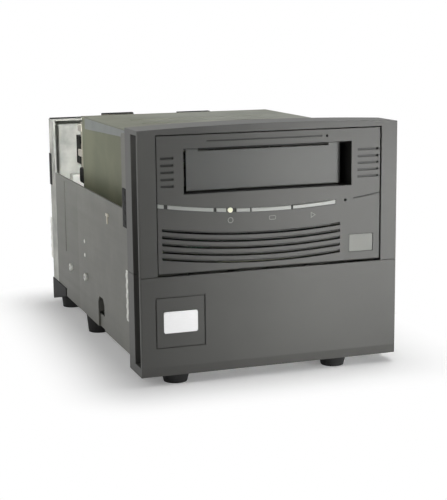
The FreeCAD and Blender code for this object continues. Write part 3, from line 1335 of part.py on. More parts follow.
def deck_pins():
    """Steel pins on the deck: the rollers' pins on hexagonal posts and the head's guide shafts."""
    pins = []
    for i, (across, depth) in enumerate(ROLLER_SPOTS, start=1):
        post = prism(f"roller_post_{i}", "Z", 6, across, depth, "deck_top", "roller_post",
                     "tape_low - joint_gap - deck_top")
        stem = rod(f"roller_pin_{i}", "Z", across, depth, "tape_low - joint_gap", "roller_pin_radius",
                   "2 * tape_half + joint_gap + pin_end")
        pins.append(fused(f"roller_support_{i}", [post, stem]))
    for i, sign in enumerate(("-", "+"), start=1):
        pins.append(rod(f"guide_shaft_{i}", "Z", "head_across - guide_across",
                        f"head_depth {sign} guide_spread", "deck_top", "guide_radius",
                        "bridge_level - deck_top"))
    group("deck_pins", pins)


def motor(name, across, depth, radius):
    """A motor's closed round can under the deck, bevelled at the bottom."""
    low = "deck_level - motor_height"
    can = rod(f"{name}_can", "Z", across, depth, low, radius, "motor_height")
    rim = cone(f"{name}_rim", "Z", across, depth, f"{low} - motor_bevel", f"{radius} - 2 * motor_bevel",
               f"{radius}", "motor_bevel")
    return fused(f"{name}_whole", [can, rim])


def motors():
    """The two reel motors and the head's stepper."""
    group("reel_motors", [motor("supply_motor", "slot_centre", "hub_depth", "motor_radius"),
                          motor("takeup_motor", "reel_across", "reel_depth", "motor_radius")])
    group("head_motor", [motor("head_stepper", "head_across", "head_depth", "head_motor_radius")])


# Sockets at the drive's rear: left, right and height above the board.
DRIVE_SOCKETS = (("-61.7", "-4.3", "11.4"), ("12.3", "35.7", "9.4"))


def boards():
    """Drive's main board with its chips, the lamp and switch board, and the rear sockets."""
    main = Body("main_board")
    main.pad("XY", "board_level", [rectangle("-board_half", "board_half", "board_front", "board_back")],
             "board_thickness")
    group("board_parts", [box(f"chip_{i}", left, f"board_front + {near}", "board_top", wide, deep, high)
                          for i, (left, near, wide, deep, high) in enumerate(CHIPS)])
    group("lamp_board", [
        box("lamp_board_sheet", "-lamp_board_half", "lamp_board_front", "lamp_board_bottom",
            "2 * lamp_board_half", "board_thickness", "lamp_board_height"),
        box("eject_switch", "eject_middle - switch_size / 2", "switch_face", "trim_level - switch_size / 2",
            "switch_size", "lamp_board_front - switch_face", "switch_size"),
        box("lamp", "led_across - led_radius", "lamp_front", "led_level - led_radius / 2",
            "2 * led_radius", "lamp_board_front - lamp_front", "led_radius")])
    group("lamp_lens", [rod("lamp_lens_rod", "Y", "led_across", "drive_face - led_proud", "led_level",
                            "led_radius", "lamp_front - joint_gap - drive_face + led_proud")])
    group("drive_rear_sockets", [
        box(f"drive_socket_{i}", left, "drive_back - 4 * casting_wall", "board_top", f"{right} - ({left})",
            "5 * casting_wall", high) for i, (left, right, high) in enumerate(DRIVE_SOCKETS)])


# ---------------------------------------------------------------- power supply, fan and rear fittings
def power_supply():
    """Supply in a pierced sheet case, with its board and its tallest parts."""
    case = Body("supply_case")
    case.pad("XY", "floor_top", [rectangle("-supply_half", "supply_half", "supply_front", "supply_back")],
             "supply_height")
    case.pocket("XY", "floor_top", [rectangle("-supply_half + sheet_steel", "supply_half - sheet_steel",
                                              "supply_front + sheet_steel", "supply_back - sheet_steel")],
                "supply_height - sheet_steel")
    row = "(supply_slot_count - 1) * supply_slot_pitch + supply_slot"
    slot = case.pocket("XZ", "supply_front - 1",
                       [rectangle(f"-({row}) / 2", f"-({row}) / 2 + supply_slot",
                                  "floor_top + supply_slot_rise", "supply_top - supply_slot_rise")],
                       "sheet_steel + 2")
    case.repeat([slot], "X", "supply_slot_pitch", "supply_slot_count")
    vent = case.pocket("XY", "supply_top - sheet_steel - 1",
                       [rectangle("-supply_vent_half", "supply_vent_half", "supply_front + supply_vent_pitch",
                                  "supply_front + supply_vent_pitch + supply_vent")], "sheet_steel + 2")
    case.repeat([vent], "Y", "supply_vent_pitch", "supply_vent_count")
    for start in ("-supply_half", "supply_half - sheet_steel"):
        case.pocket("YZ", start, [circle(depth, level, "side_screw_radius") for depth, level in SIDE_SCREWS],
                    "sheet_steel")
    board = Body("supply_board")
    board.pad("XY", "supply_board_level",
              [rectangle("-supply_half + supply_board_gap", "supply_half - supply_board_gap",
                         "supply_front + supply_board_gap", "supply_back - supply_board_gap")],
              "board_thickness")
    top = "supply_board_top"
    group("supply_parts", [
        box("transformer", "-transformer_width / 2", "supply_front + transformer_depth + supply_pad", top,
            "transformer_width", "transformer_depth", "transformer_height"),
        box("heat_sink", "transformer_width", "supply_front + 2 * supply_pad", top, "heat_sink",
            "heat_sink_depth", "reservoir_height"),
        rod("reservoir_left", "Z", "-2 * reservoir_radius - supply_pad",
            "supply_front + reservoir_radius + supply_pad", top, "reservoir_radius", "reservoir_height"),
        rod("reservoir_right", "Z", "0", "supply_front + reservoir_radius + supply_pad", top,
            "reservoir_radius", "reservoir_height")])


def fan():
    """Axial fan behind the rear panel: square frame with a round duct, and a bladed rotor."""
    frame = Body("fan_frame", x="fan_across", y="fan_front", z="fan_centre")
    frame.pad("XZ", "0", [rectangle("-fan_half", "fan_half", "-fan_half", "fan_half"),
                          circle("0", "0", "fan_duct")], "fan_depth")
    frame.pocket("XZ", "0", [circle(across, up, "fan_screw_radius + fit_gap")
                             for across, up in FAN_SCREWS], "fan_depth")
    hub_front = "fan_depth - fan_spoke"
    frame.pad("XZ", hub_front, [circle("0", "0", "fan_hub_radius")], "fan_spoke")
    spoke = frame.pad("XZ", hub_front, [rectangle("-fan_spoke / 2", "fan_spoke / 2",
                                                  "fan_hub_radius - 1", "fan_duct + fan_duct_wall / 2")],
                      "fan_spoke")
    frame.ring([spoke], "Y", "3")
    frame.pad("XZ", "2 * fan_cup + joint_gap", [circle("0", "0", "fan_cup_inner - joint_gap")],
              f"{hub_front} - 2 * fan_cup - joint_gap")
    frame.round_off("fan_round", runs_along("Y", 20, X=("fan_half", "-fan_half"),
                                            Z=("fan_half", "-fan_half")), "Chamfer")

    rotor = Body("fan_rotor", x="fan_across", y="fan_front", z="fan_centre")
    rotor.pad("XZ", "fan_cup", [circle("0", "0", "fan_hub_radius")], "fan_cup_back - fan_cup")
    lean, half = "fan_blade_lean", "fan_blade / 2"
    section = [(f"-{lean} - {half}", "fan_blade_front"), (f"{half} - {lean}", "fan_blade_front"),
               (f"{lean} + {half}", "fan_blade_back"), (f"{lean} - {half}", "fan_blade_back")]
    root = "sqrt(fan_hub_radius ^ 2 - (fan_blade_lean + fan_blade) ^ 2) - fan_cup / 4"
    blade = rotor.pad("XY", root, [section], f"fan_duct - ({root})")
    rotor.ring([blade], "Y", "fan_blades")
    rotor.pocket("XZ", "2 * fan_cup", [circle("0", "0", "fan_cup_inner")], "fan_depth")
    rotor.pocket("XZ", "0", [circle("0", "0", "fan_size"), circle("0", "0", "fan_tip")], "fan_depth")


def power_entry():
    """Mains inlet with its three pins, and the rocker switch in its frame."""
    left, bottom, wide, high = INLET
    right, top = f"{left} + {wide}", f"{bottom} + {high}"
    inlet = Body("power_inlet")
    inlet.pad("XZ", "module_depth", [rectangle(f"{left} - inlet_flange", f"{right} + inlet_flange",
                                               f"{bottom} - inlet_flange", f"{top} + inlet_flange")],
              "inlet_flange")
    inlet.pad("XZ", "module_depth - inlet_depth", [rectangle(left, right, bottom, top)], "inlet_depth")
    corner = "inlet_wall + inlet_corner"
    socket = [(f"{left} + inlet_wall", f"{bottom} + inlet_wall"),
              (f"{right} - inlet_wall", f"{bottom} + inlet_wall"),
              (f"{right} - inlet_wall", f"{top} - {corner.replace('+', '-')}"),
              (f"{right} - {corner.replace('+', '-')}", f"{top} - inlet_wall"),
              (f"{left} + {corner}", f"{top} - inlet_wall"),
              (f"{left} + inlet_wall", f"{top} - {corner.replace('+', '-')}")]
    floor = "module_depth - inlet_depth + inlet_wall"
    inlet.pocket("XZ", floor, [socket], "inlet_depth + inlet_flange")
    middle = f"{left} + {wide} / 2"
    low, raised = f"{bottom} + 3 * inlet_wall", f"{bottom} + {high} / 2 + fit_gap"
    for shift, base in (("-inlet_pin_spread", low), ("0", raised), ("inlet_pin_spread", low)):
        pin = rectangle(f"{middle} + {shift} - inlet_pin / 2", f"{middle} + {shift} + inlet_pin / 2", base,
                        f"{base} + inlet_pin_height")
        inlet.pad("XZ", floor, [pin], "inlet_pin_length")

    left, bottom, wide, high = ROCKER
    right, top = f"{left} + {wide}", f"{bottom} + {high}"
    frame = Body("switch_frame")
    frame.pad("XZ", "module_depth", [rectangle(f"{left} - rocker_flange", f"{right} + rocker_flange",
                                               f"{bottom} - rocker_flange", f"{top} + rocker_flange")],
              "rocker_flange")
    frame.pad("XZ", "module_depth - rocker_depth", [rectangle(left, right, bottom, top)], "rocker_depth")
    frame.pocket("XZ", "module_depth - rocker_depth + 2 * rocker_flange",
                 [rectangle(f"{left} + rocker_flange", f"{right} - rocker_flange",
                            f"{bottom} + rocker_flange", f"{top} - rocker_flange")], "rocker_depth")
    frame.pad("YZ", f"{left} + rocker_flange / 2", [circle("module_depth - rocker_pivot", "rocker_level",
                                                           "rocker_axle")], f"{wide} - rocker_flange")
    rocker = Body("power_switch", y="module_depth - rocker_pivot", z="rocker_level")
    rocker.item.Placement = FreeCAD.Placement(rocker.item.Placement.Base, FreeCAD.Rotation(
        FreeCAD.Vector(1, 0, 0), -number("switch_tilt")))
    reach = f"({high} / 2 - 2 * rocker_flange)"
    hub, crest = "2.4 * rocker_axle", "1.3 * rocker_pivot"
    paddle = [(f"-{hub}", "-1.8 * rocker_axle"), ("rocker_pivot / 2", f"-{reach}"), (crest, f"-{reach}"),
              ("rocker_pivot", "0"), (crest, reach), ("rocker_pivot / 2", reach),
              (f"-{hub}", "1.8 * rocker_axle")]
    rocker.pad("YZ", f"{left} + rocker_flange + joint_gap", [paddle],
               f"{wide} - 2 * rocker_flange - 2 * joint_gap")
    rocker.pocket("YZ", left, [circle("0", "0", "rocker_axle + running_gap")], wide)


def rear_sockets():
    """Two data sockets, each with a shell, a tongue and a flange that its jack posts hold."""
    sockets, posts = [], []
    for i, (left, bottom, wide, high) in enumerate(SOCKETS, start=1):
        middle = f"{bottom} + {high} / 2"
        wall, inset = "socket_wall", "socket_tongue_inset"
        body = box(f"socket_body_{i}", left, "module_depth - socket_depth", bottom, wide,
                   "socket_depth + socket_plate", high)
        flange = box(f"socket_flange_{i}", f"{left} - socket_flange", "module_depth", bottom,
                     f"{wide} + 2 * socket_flange", "socket_plate", high)
        shell = box(f"socket_shell_{i}", f"{left} + {wall}", "module_depth", f"{bottom} + {wall}",
                    f"{wide} - 2 * {wall}", "socket_shell", f"{high} - 2 * {wall}")
        hollow = box(f"socket_hollow_{i}", f"{left} + 2 * {wall}", f"module_depth - {wall}",
                     f"{bottom} + 2 * {wall}", f"{wide} - 4 * {wall}", f"socket_shell + 2 * {wall}",
                     f"{high} - 4 * {wall}")
        tongue = box(f"socket_tongue_{i}", f"{left} + {inset}", f"module_depth - 2 * {wall}",
                     f"{middle} - socket_tongue / 2", f"{wide} - 2 * {inset}",
                     f"socket_shell + {wall}", "socket_tongue")
        open_shell = cut(f"socket_open_{i}", fused(f"socket_whole_{i}", [body, flange, shell]), [hollow])
        sockets.append(fused(f"data_socket_{i}", [open_shell, tongue]))
        for j, across in enumerate((f"{left} - jack_post_offset", f"{left} + {wide} + jack_post_offset")):
            posts.append(prism(f"jack_post_{i}{j}", "Y", 6, across, "module_depth + socket_plate", middle,
                               "jack_post_radius", "rear_reach - socket_plate"))
    group("data_sockets", sockets)
    group("jack_posts", posts)


def address_selector():
    """Thumb-button selector: a digit wheel on its axle between a down and an up button."""
    left, bottom, wide, high = SELECTOR
    half = "selector_window / 2"
    window_left, window_right = f"selector_middle - {half}", f"selector_middle + {half}"
    back = "module_depth - selector_depth"
    housing = Body("address_selector")
    housing.pad("XZ", back, [rectangle(left, f"{left} + {wide}", bottom, "selector_top")],
                "selector_depth + selector_proud")
    housing.pocket("XZ", f"{back} + selector_rim",
                   [rectangle(window_left, window_right, f"{bottom} + selector_rim",
                              "selector_top - selector_rim")], "selector_depth + selector_proud")
    housing.pad("YZ", f"{window_left} - joint_gap", [circle("module_depth - wheel_depth", "wheel_level",
                                                            "selector_axle")],
                "selector_window + 2 * joint_gap")
    button_half = f"{half} - joint_gap"
    for label, low in (("address_button_down", f"{bottom} + selector_rim + joint_gap"),
                       ("address_button_up", "selector_top - selector_rim - joint_gap - "
                                             "address_button_size")):
        button = Body(label)
        button.pad("XZ", "module_depth + address_button_reach - address_button_depth",
                   [rectangle(f"selector_middle - ({button_half})", f"selector_middle + {button_half}", low,
                              f"{low} + address_button_size")], "address_button_depth")
    wheel = Body("address_wheel", x="selector_middle", y="module_depth - wheel_depth", z="wheel_level")
    corners = [(f"wheel_radius * cos({i} * 360 / wheel_faces)", f"wheel_radius * sin({i} * 360 / wheel_faces)")
               for i in range(int(SIZES["wheel_faces"]))]
    wheel.pad("YZ", f"-({button_half})", [corners], f"2 * ({button_half})")
    wheel.pocket("YZ", f"-{half}", [circle("0", "0", "selector_axle + running_gap")], "selector_window")


# ---------------------------------------------------------------- feet, gaskets and fasteners
def foot(name, across, depth, top):
    """A tapered rubber disc."""
    return cone(name, "Z", across, depth, "-foot_drop", "foot_radius - foot_taper", "foot_radius",
                f"foot_drop + {top}")


def feet():
    """Two short feet under the bezel and four tall ones under the floor."""
    group("front_feet", [foot(f"front_foot_{i}", x, y, "0") for i, (x, y) in enumerate(FRONT_FEET)])
    group("rear_feet", [foot(f"rear_foot_{i}", x, y, "floor_level") for i, (x, y) in enumerate(REAR_FEET)])


def rear_guides():
    """Black moulded guides under the two rear corners, each round a foot, with a slanting underside."""
    guides = Body("rear_corner_guides")
    toe = "module_depth - corner_guide_toe"
    wedge = [("corner_guide_front", "floor_level"), (toe, "-corner_guide_drop"),
             ("module_depth", "-corner_guide_drop"), ("module_depth", "floor_level")]
    skirt = rectangle("corner_guide_front", "module_depth", "floor_level", "floor_level + corner_guide_rise")
    outside = "half_chassis + corner_guide_skirt"
    for start, skirt_start in ((f"-({outside})", f"-({outside})"),
                               (f"{outside} - corner_guide_width", "half_chassis")):
        guides.pad("YZ", start, [wedge], "corner_guide_width")
        guides.pad("YZ", skirt_start, [skirt], "corner_guide_skirt")
    clear = "foot_radius + fit_gap"
    sleeves = [rectangle(f"{across} - {clear.replace('+', '-')}", f"{across} + {clear}",
                         f"{depth} - {clear.replace('+', '-')}", f"{depth} + {clear}")
               for across, depth in REAR_FEET[2:]]
    guides.pocket("XY", "-corner_guide_drop - 1", sleeves, "floor_level + corner_guide_drop + 1")


def gaskets():
    """Dark gaskets along the rear panel's top edge, the taller bar beside them and a corner cap."""
    strip = "module_depth - gasket_depth"
    tab_right = "tab_left + tab_width"
    group("rear_top_gaskets", [
        box("gasket_left", "-half_chassis + 1", strip, "rear_panel_top",
            "tab_left - joint_gap + half_chassis - 1", "gasket_depth", "gasket_height"),
        box("gasket_tab", "tab_left", "module_depth - tab_depth", "tab_top", "tab_width", "tab_depth",
            "gasket_height"),
        box("gasket_middle", f"{tab_right} + joint_gap", strip, "rear_panel_top",
            f"gasket_right - ({tab_right}) - joint_gap", "gasket_depth", "gasket_height"),
        box("gasket_bar", "bar_left", strip, "rear_panel_top", "bar_width", "gasket_depth", "bar_height"),
        box("corner_cap", "half_chassis - cap_width", strip, "rear_panel_top", "cap_width", "gasket_depth",
            "cap_height")])


def spring_fingers():
    """Rows of bright contact springs at the front of both side walls and on the rear edges."""
    springs = Body("contact_springs")
    row = "finger_count * finger_pitch"
    for depth, face in (("wall_front + 1.5", "half_chassis"),
                        ("module_depth", "half_chassis - finger_sheet")):
        for side in (-1, 1):
            start = face if side > 0 else f"-({face}) - finger_sheet"
            springs.pad("YZ", start, [rectangle(depth, f"{depth} + finger_width", "finger_bottom",
                                                f"finger_bottom + {row}")], "finger_sheet")
            root, crest = f"{face} + finger_sheet", f"{face} + finger_sheet + finger_bulge"
            if side < 0:
                root, crest = f"-({root})", f"-({crest})"
            hump = [(root, "finger_bottom + 0.1 * finger_pitch"), (crest, "finger_bottom + 0.3 * finger_pitch"),
                    (crest, "finger_bottom + 0.6 * finger_pitch"), (root, "finger_bottom + 0.8 * finger_pitch")]
            finger = springs.pad("XZ", f"{depth} + finger_inset", [hump], "finger_width - 2 * finger_inset")
            springs.repeat([finger], "Z", "finger_pitch", "finger_count")


def screw(name, axis, x, y, z, radius, length, out=1):
    """Hexagon-head screw: its head's underside is at the given point, its shank runs the other way."""
    def along(shift):
        spot = {"X": x, "Y": y, "Z": z}
        spot[axis] = f"{spot[axis]} {shift}"
        return spot["X"], spot["Y"], spot["Z"]
    wide, head = f"{radius} * 1.9", f"{radius} * 1.1"
    head_start, shank_start = ("+ 0", f"- ({length})") if out > 0 else (f"- {head}", "+ 0")
    cap = prism(name + "_head", axis, 6, *along(head_start), wide, head)
    shank = rod(name + "_shank", axis, *along(shank_start), radius, length)
    return fused(name, [cap, shank])


def fasteners():
    """Small screws of the side walls and the drive, and the fan's larger ones."""
    small = []
    for i, (depth, level) in enumerate(SIDE_SCREWS):
        small.append(screw(f"left_screw_{i}", "X", "-half_chassis", depth, level, "side_screw_radius",
                           "side_screw_length", out=-1))
        small.append(screw(f"right_screw_{i}", "X", "half_chassis", depth, level, "side_screw_radius",
                           "side_screw_length"))
    for i, (across, depth) in enumerate(MOUNT_SPOTS):
        small.append(screw(f"mount_screw_{i}", "Z", across, depth, "shelf_level", "drive_screw_radius",
                           "sheet_steel + drive_screw_length", out=-1))
    group("small_screws", small)
    group("large_screws", [screw(f"fan_screw_{i}", "Y", f"fan_across + {across}", "module_depth",
                                 f"fan_centre + {up}", "fan_screw_radius", "sheet_steel + fan_screw_length")
                           for i, (across, up) in enumerate(FAN_SCREWS)])


# ---------------------------------------------------------------- the whole
bezel_frame()
bezel_lower_panel()
badge_plate()
chassis_floor()
side_wall("left_side_wall", -1)
side_wall("right_side_wall", 1)
rear_panel()
drive_shelf()
side_guides()
drive_bezel()
receiver_door()
door_pin()
trim()
eject_button()
drive_casting()
drive_cover()
deck()
cartridge_receiver()
receiver_side_plates()
supply_hub()
takeup_reel()
guide_rollers()
deck_pins()
head()
motors()
boards()
power_supply()
fan()
power_entry()
rear_sockets()
address_selector()
feet()
rear_guides()
gaskets()
spring_fingers()
fasteners()
doc.recompute()

faults = [item.Label for item in doc.Objects if "Invalid" in item.State or "Error" in item.State]
for item in nodes:
    if item.Shape.isNull() or not item.Shape.isValid():
        faults.append(item.Label + " has no sound shape")
for before, pocket in cuts:
    if pocket.Shape.isNull() or pocket.Shape.Volume > before.Shape.Volume - 1e-6:
        faults.append(pocket.Label + " cuts nothing")
if faults:
    raise RuntimeError("; ".join(faults))

os.makedirs("parts", exist_ok=True)
for item in nodes:
    item.Shape.exportStep(f"parts/{item.Label}.step")
print(len(nodes), "nodes")
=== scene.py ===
# %% [markdown]
# # A tape drive in its open sheet-metal carrier
# The drive is a full-height unit with a moulded front, held in a low steel tray between a bezel and
# a rear panel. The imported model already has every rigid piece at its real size, so this script gives
# each of them its finish, adds the small things that only the eye needs, and sets up the light.

# %% Load the frame
import math

import bmesh
import bpy
from mathutils import Matrix, Vector


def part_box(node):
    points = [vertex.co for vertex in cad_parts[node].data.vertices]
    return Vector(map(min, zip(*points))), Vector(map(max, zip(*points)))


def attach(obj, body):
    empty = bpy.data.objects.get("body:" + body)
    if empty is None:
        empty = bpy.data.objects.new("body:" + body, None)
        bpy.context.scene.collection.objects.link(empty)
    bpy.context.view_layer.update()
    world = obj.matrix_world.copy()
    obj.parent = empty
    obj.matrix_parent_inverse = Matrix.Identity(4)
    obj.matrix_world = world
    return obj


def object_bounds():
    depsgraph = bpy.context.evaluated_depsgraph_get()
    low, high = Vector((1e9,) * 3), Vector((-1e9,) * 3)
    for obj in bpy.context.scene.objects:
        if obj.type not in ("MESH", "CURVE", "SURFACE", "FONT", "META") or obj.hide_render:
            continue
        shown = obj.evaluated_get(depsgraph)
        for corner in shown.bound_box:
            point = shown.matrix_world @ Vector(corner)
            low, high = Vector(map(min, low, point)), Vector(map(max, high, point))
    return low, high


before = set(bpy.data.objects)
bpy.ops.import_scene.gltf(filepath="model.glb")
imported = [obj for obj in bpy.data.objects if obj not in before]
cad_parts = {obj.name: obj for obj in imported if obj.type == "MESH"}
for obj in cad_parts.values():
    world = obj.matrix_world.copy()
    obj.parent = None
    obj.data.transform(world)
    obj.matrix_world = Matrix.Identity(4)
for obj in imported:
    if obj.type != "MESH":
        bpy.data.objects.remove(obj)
CAD_BOX = [list(corner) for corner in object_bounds()]
MM = 0.001

# %% [markdown]
# ## Where things are
# Every place below is measured from three of the model's own pieces: the bezel gives the face and
# the lower edge, and the rear panel gives the far end. `at` turns a place in the drive's own
# millimetres, from the bezel's lower edge and face, into the frame's metres.

# %% Measure the main pieces
def corners(name):
    """Lowest and highest corner of one of the model's pieces."""
    low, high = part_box(name)
    return Vector(low), Vector(high)


BEZEL_LOW = corners("bezel_lower_panel")[0]
BEZEL_HIGH = corners("bezel_frame")[1]
FACE = corners("bezel_frame")[0].y
REAR = corners("rear_panel")[1].y


def at(across, depth, up):
    """A place given in millimetres: across from the middle, behind the bezel's face, above its edge."""
    return Vector((across * MM, FACE + depth * MM, BEZEL_LOW.z + up * MM))


print("bezel", [round(value / MM, 1) for value in BEZEL_HIGH - BEZEL_LOW], "mm")
print("rear panel at", round(REAR / MM, 1), "mm")

# %% [markdown]
# ## The camera
# A long lens from about three quarters of a metre in front, to the left and a little above. The
# matrix is built from three angles: how far the view turns to the right, how far it looks down, and
# a slight roll of the hand.

# %% Camera
CAMERA_PLACE = at(-288.57, -737.72, 221.03)
TURN, DOWN, ROLL = (math.radians(angle) for angle in (19.14, 10.43, -0.62))
SENSOR_MM, LENS_MM = 36.0, 92.127


def aim(turn, down, roll):
    """Rotation of a camera that looks along +Y, turned to +X, tipped down and rolled."""
    ahead = Vector((math.sin(turn), math.cos(turn), 0.0)) * math.cos(down)
    forward = ahead - Vector((0.0, 0.0, math.sin(down)))
    level = Vector((math.cos(turn), -math.sin(turn), 0.0))
    above = level.cross(forward)
    right = level * math.cos(roll) + above * math.sin(roll)
    up = above * math.cos(roll) - level * math.sin(roll)
    return Matrix((right, up, -forward)).transposed()


camera_data = bpy.data.cameras.new("camera")
camera_data.sensor_width = SENSOR_MM
camera_data.lens = LENS_MM
camera_data.clip_start = 0.01
camera = bpy.data.objects.new("camera", camera_data)
camera.matrix_world = Matrix.Translation(CAMERA_PLACE) @ aim(TURN, DOWN, ROLL).to_4x4()
bpy.context.scene.collection.objects.link(camera)
bpy.context.scene.camera = camera
bpy.context.scene.view_settings.view_transform = "Standard"
print("camera", tuple(round(v, 4) for v in CAMERA_PLACE))

# %% [markdown]
# ## Writing shaders as expressions
# A node tree is easier to read as arithmetic. `Wire` wraps one output socket, and its operators add
# Math nodes; everything else goes through `add`, which sets a node's options before its inputs.

# %% Shader helpers
class Wire:
    """One output socket that Python's operators work on."""

    def __init__(self, nodes, socket):
        self.nodes, self.socket = nodes, socket

    def maths(self, operation, *others):
        return self.nodes.add("ShaderNodeMath", {"operation": operation}, *((self,) + others))

    def __add__(self, other):
        return self.maths("ADD", other)

    def __sub__(self, other):
        return self.maths("SUBTRACT", other)

    def __mul__(self, other):
        return self.maths("MULTIPLY", other)

    def __rsub__(self, other):
        return self.nodes.add("ShaderNodeMath", {"operation": "SUBTRACT"}, other, self)

    __radd__, __rmul__ = __add__, __mul__

    def between(self, low, high):
        """Rise smoothly from 0 at low to 1 at high."""
        settings = {"interpolation_type": "SMOOTHSTEP"}
        return self.nodes.add("ShaderNodeMapRange", settings, self, low, high)


class Nodes:
    """A node tree that grows by one method: options first, then inputs, each a value or a wire."""

    def __init__(self, tree):
        self.tree = tree

    def add(self, kind, settings=None, *inputs, output=0, **named):
        node = self.tree.nodes.new(kind)
        for key, value in (settings or {}).items():
            setattr(node, key, value)
        fed = list(zip(node.inputs, inputs))
        fed += [(node.inputs[key], value) for key, value in named.items()]
        for socket, value in fed:
            if isinstance(value, Wire):
                self.tree.links.new(value.socket, socket)
            else:
                socket.default_value = value
        return Wire(self, node.outputs[output])


class Paint(Nodes):
    """A material with one Principled shader and the nodes that feed it."""

    def __init__(self, name, colour, roughness, metallic=0.0, **extra):
        self.material = bpy.data.materials.new(name)
        self.material.use_nodes = True
        super().__init__(self.material.node_tree)
        self.shader = self.tree.nodes["Principled BSDF"]
        self.set("Base Color", (*colour, 1.0))
        self.set("Roughness", roughness)
        self.set("Metallic", metallic)
        for socket, value in extra.items():
            self.set(socket.replace("_", " "), value)

    def set(self, socket, value):
        if isinstance(value, Wire):
            self.tree.links.new(value.socket, self.shader.inputs[socket])
        else:
            self.shader.inputs[socket].default_value = value
        return self

    def place(self):
        """Object coordinates, in metres."""
        return self.add("ShaderNodeTexCoord", output=3)

    def stretched(self, x, y, z):
        """Object coordinates scaled along each axis."""
        return self.add("ShaderNodeMapping", None, self.place(), Scale=(x, y, z))

    def noise(self, per_metre, detail=2.0, roughness=0.5, where=None):
        return self.add("ShaderNodeTexNoise", None, Vector=where or self.place(), Scale=per_metre,
                        Detail=detail, Roughness=roughness)

    def blend(self, amount, first, second):
        """Mix two colours, each a triple or a wire."""
        first, second = ((*item, 1.0) if isinstance(item, tuple) else item for item in (first, second))
        node = self.tree.nodes.new("ShaderNodeMix")
        node.data_type = "RGBA"
        for index, value in ((0, amount), (6, first), (7, second)):
            if isinstance(value, Wire):
                self.tree.links.new(value.socket, node.inputs[index])
            else:
                node.inputs[index].default_value = value
        return Wire(self, node.outputs[2])

    def bump(self, height, strength, distance, edge=0.0004):
        """Feed a height to the shader's normal, over edges that are softened by a small radius."""
        rounded = self.add("ShaderNodeBevel", {"samples": 4}, Radius=edge)
        return self.set("Normal", self.add("ShaderNodeBump", None, Strength=strength,
                                           Distance=distance, Height=height, Normal=rounded))

    def axis(self, index):
        """One coordinate of the object, in metres: 0 across, 1 along the depth, 2 upwards."""
        return self.add("ShaderNodeSeparateXYZ", None, self.place(), output=index)


def srgb(red, green, blue):
    """Linear colour of one written as 0 to 255."""
    def linear(value):
        value /= 255
        return value / 12.92 if value <= 0.04045 else ((value + 0.055) / 1.055) ** 2.4
    return tuple(linear(value) for value in (red, green, blue))


def shade(colour, factor):
    return tuple(min(1.0, value * factor) for value in colour)


# %% [markdown]
# ## Moulded plastic
# The bezel, the drive's front and the door are moulded in grey plastic with a fine spark texture.
# Two noises make it: a small one for the texture itself, and a broad faint one for the uneven sheen
# of a large moulding. An image texture could do the same, but it would need unwrapping and would show
# its seams. The grooves of the drive's front carry painted shade: the colour darkens behind a given
# depth, where the recesses lie in shadow. Only colour, roughness and the normal vary.

# %% Moulded plastic
SPARK_GRAIN, SHEEN_PATCHES = 2600.0, 22.0  # per metre
HOLLOW_FADE, PAINTED_HOLLOW_SHADE = 0.4 * MM, 0.25


def moulded(name, colour, roughness=0.5, relief=0.25, mottle=0.06, shine=0.5, painted_shade_from=None):
    """Textured moulding, with a fine grain and a broad unevenness; painted shade darkens it behind a
    given depth.
    """
    paint = Paint(name, colour, roughness, Specular_IOR_Level=shine)
    fine, broad = paint.noise(SPARK_GRAIN, 3.0), paint.noise(SHEEN_PATCHES, 2.0)
    tone = paint.blend(broad.between(0.3, 0.7), shade(colour, 1 - mottle), shade(colour, 1 + mottle))
    # Painted shade: behind this depth the colour darkens, as the grooves and recesses lie in shadow.
    if painted_shade_from is not None:
        depth = paint.axis(1).between(painted_shade_from, painted_shade_from + HOLLOW_FADE)
        tone = paint.blend(depth, tone, shade(colour, PAINTED_HOLLOW_SHADE))
    paint.set("Base Color", tone)
    paint.set("Roughness", roughness - 0.06 + fine * 0.08 + broad * 0.05)
    paint.bump(fine, relief, 0.00006)
    return paint.material


# %% [markdown]
# ## Sheet steel
# The carrier is folded from zinc-plated sheet. Rolled sheet has long faint streaks along its rolling
# direction and a cloudy passivated film, so one noise is stretched and the other is not. The walls are
# joggled where two thicknesses lap: a step in the bump's height is enough for half a millimetre, and
# behind each joggle the colour steps a little darker, so the walls grow darker towards the back. The
# rear panel turns darker above a height just under its top edge. The drive's cover carries painted
# light: it is painted paler to the right and on its folded lips, so those tones follow the height and
# the width.

# %% Sheet steel
ROLLED_ACROSS, ROLLED_ALONG = (6.0, 240.0, 240.0), (240.0, 6.0, 240.0)  # streaks per metre on each axis
CLOUDS = 38.0  # per metre
EDGE_FADE = 0.2 * MM
CREASE_WIDTH, CREASE_HEIGHT, CREASE_SHADE = 1.2, 8.0, 0.86


def above(paint, level):
    """Rise from 0 to 1 over a thin band round a height."""
    return paint.axis(2).between(level - EDGE_FADE, level + EDGE_FADE)


def sheet_steel(name, colour, roughness=0.45, metallic=0.3, rolled=ROLLED_ACROSS, cloud=0.12,
                creases=(), rim=None):
    """Plated sheet with streaks and clouds, creases at some depths, and another tone above a rim."""
    paint = Paint(name, colour, roughness, metallic)
    streaks = paint.noise(1.0, 3.0, 0.6, paint.stretched(*rolled))
    clouds = paint.noise(CLOUDS, 4.0, 0.6)
    tone = paint.blend(clouds.between(0.3, 0.75), shade(colour, 1 - cloud * 1.2),
                       shade(colour, 1 + cloud * 0.8))
    height = streaks
    # Behind each crease depth the colour steps darker, so the wall grows darker towards the back.
    for depth in creases:
        step = paint.axis(1).between(FACE + depth * MM, FACE + (depth + CREASE_WIDTH) * MM)
        tone = paint.blend(step, tone, shade(colour, CREASE_SHADE))
        height = height + step * CREASE_HEIGHT
    if rim:
        level, rim_colour = rim
        tone = paint.blend(above(paint, level), tone, rim_colour)
    paint.set("Base Color", tone)
    paint.set("Roughness", roughness - 0.08 + streaks * 0.1 + clouds * 0.1)
    paint.bump(height, 0.12, 0.00005)
    return paint.material


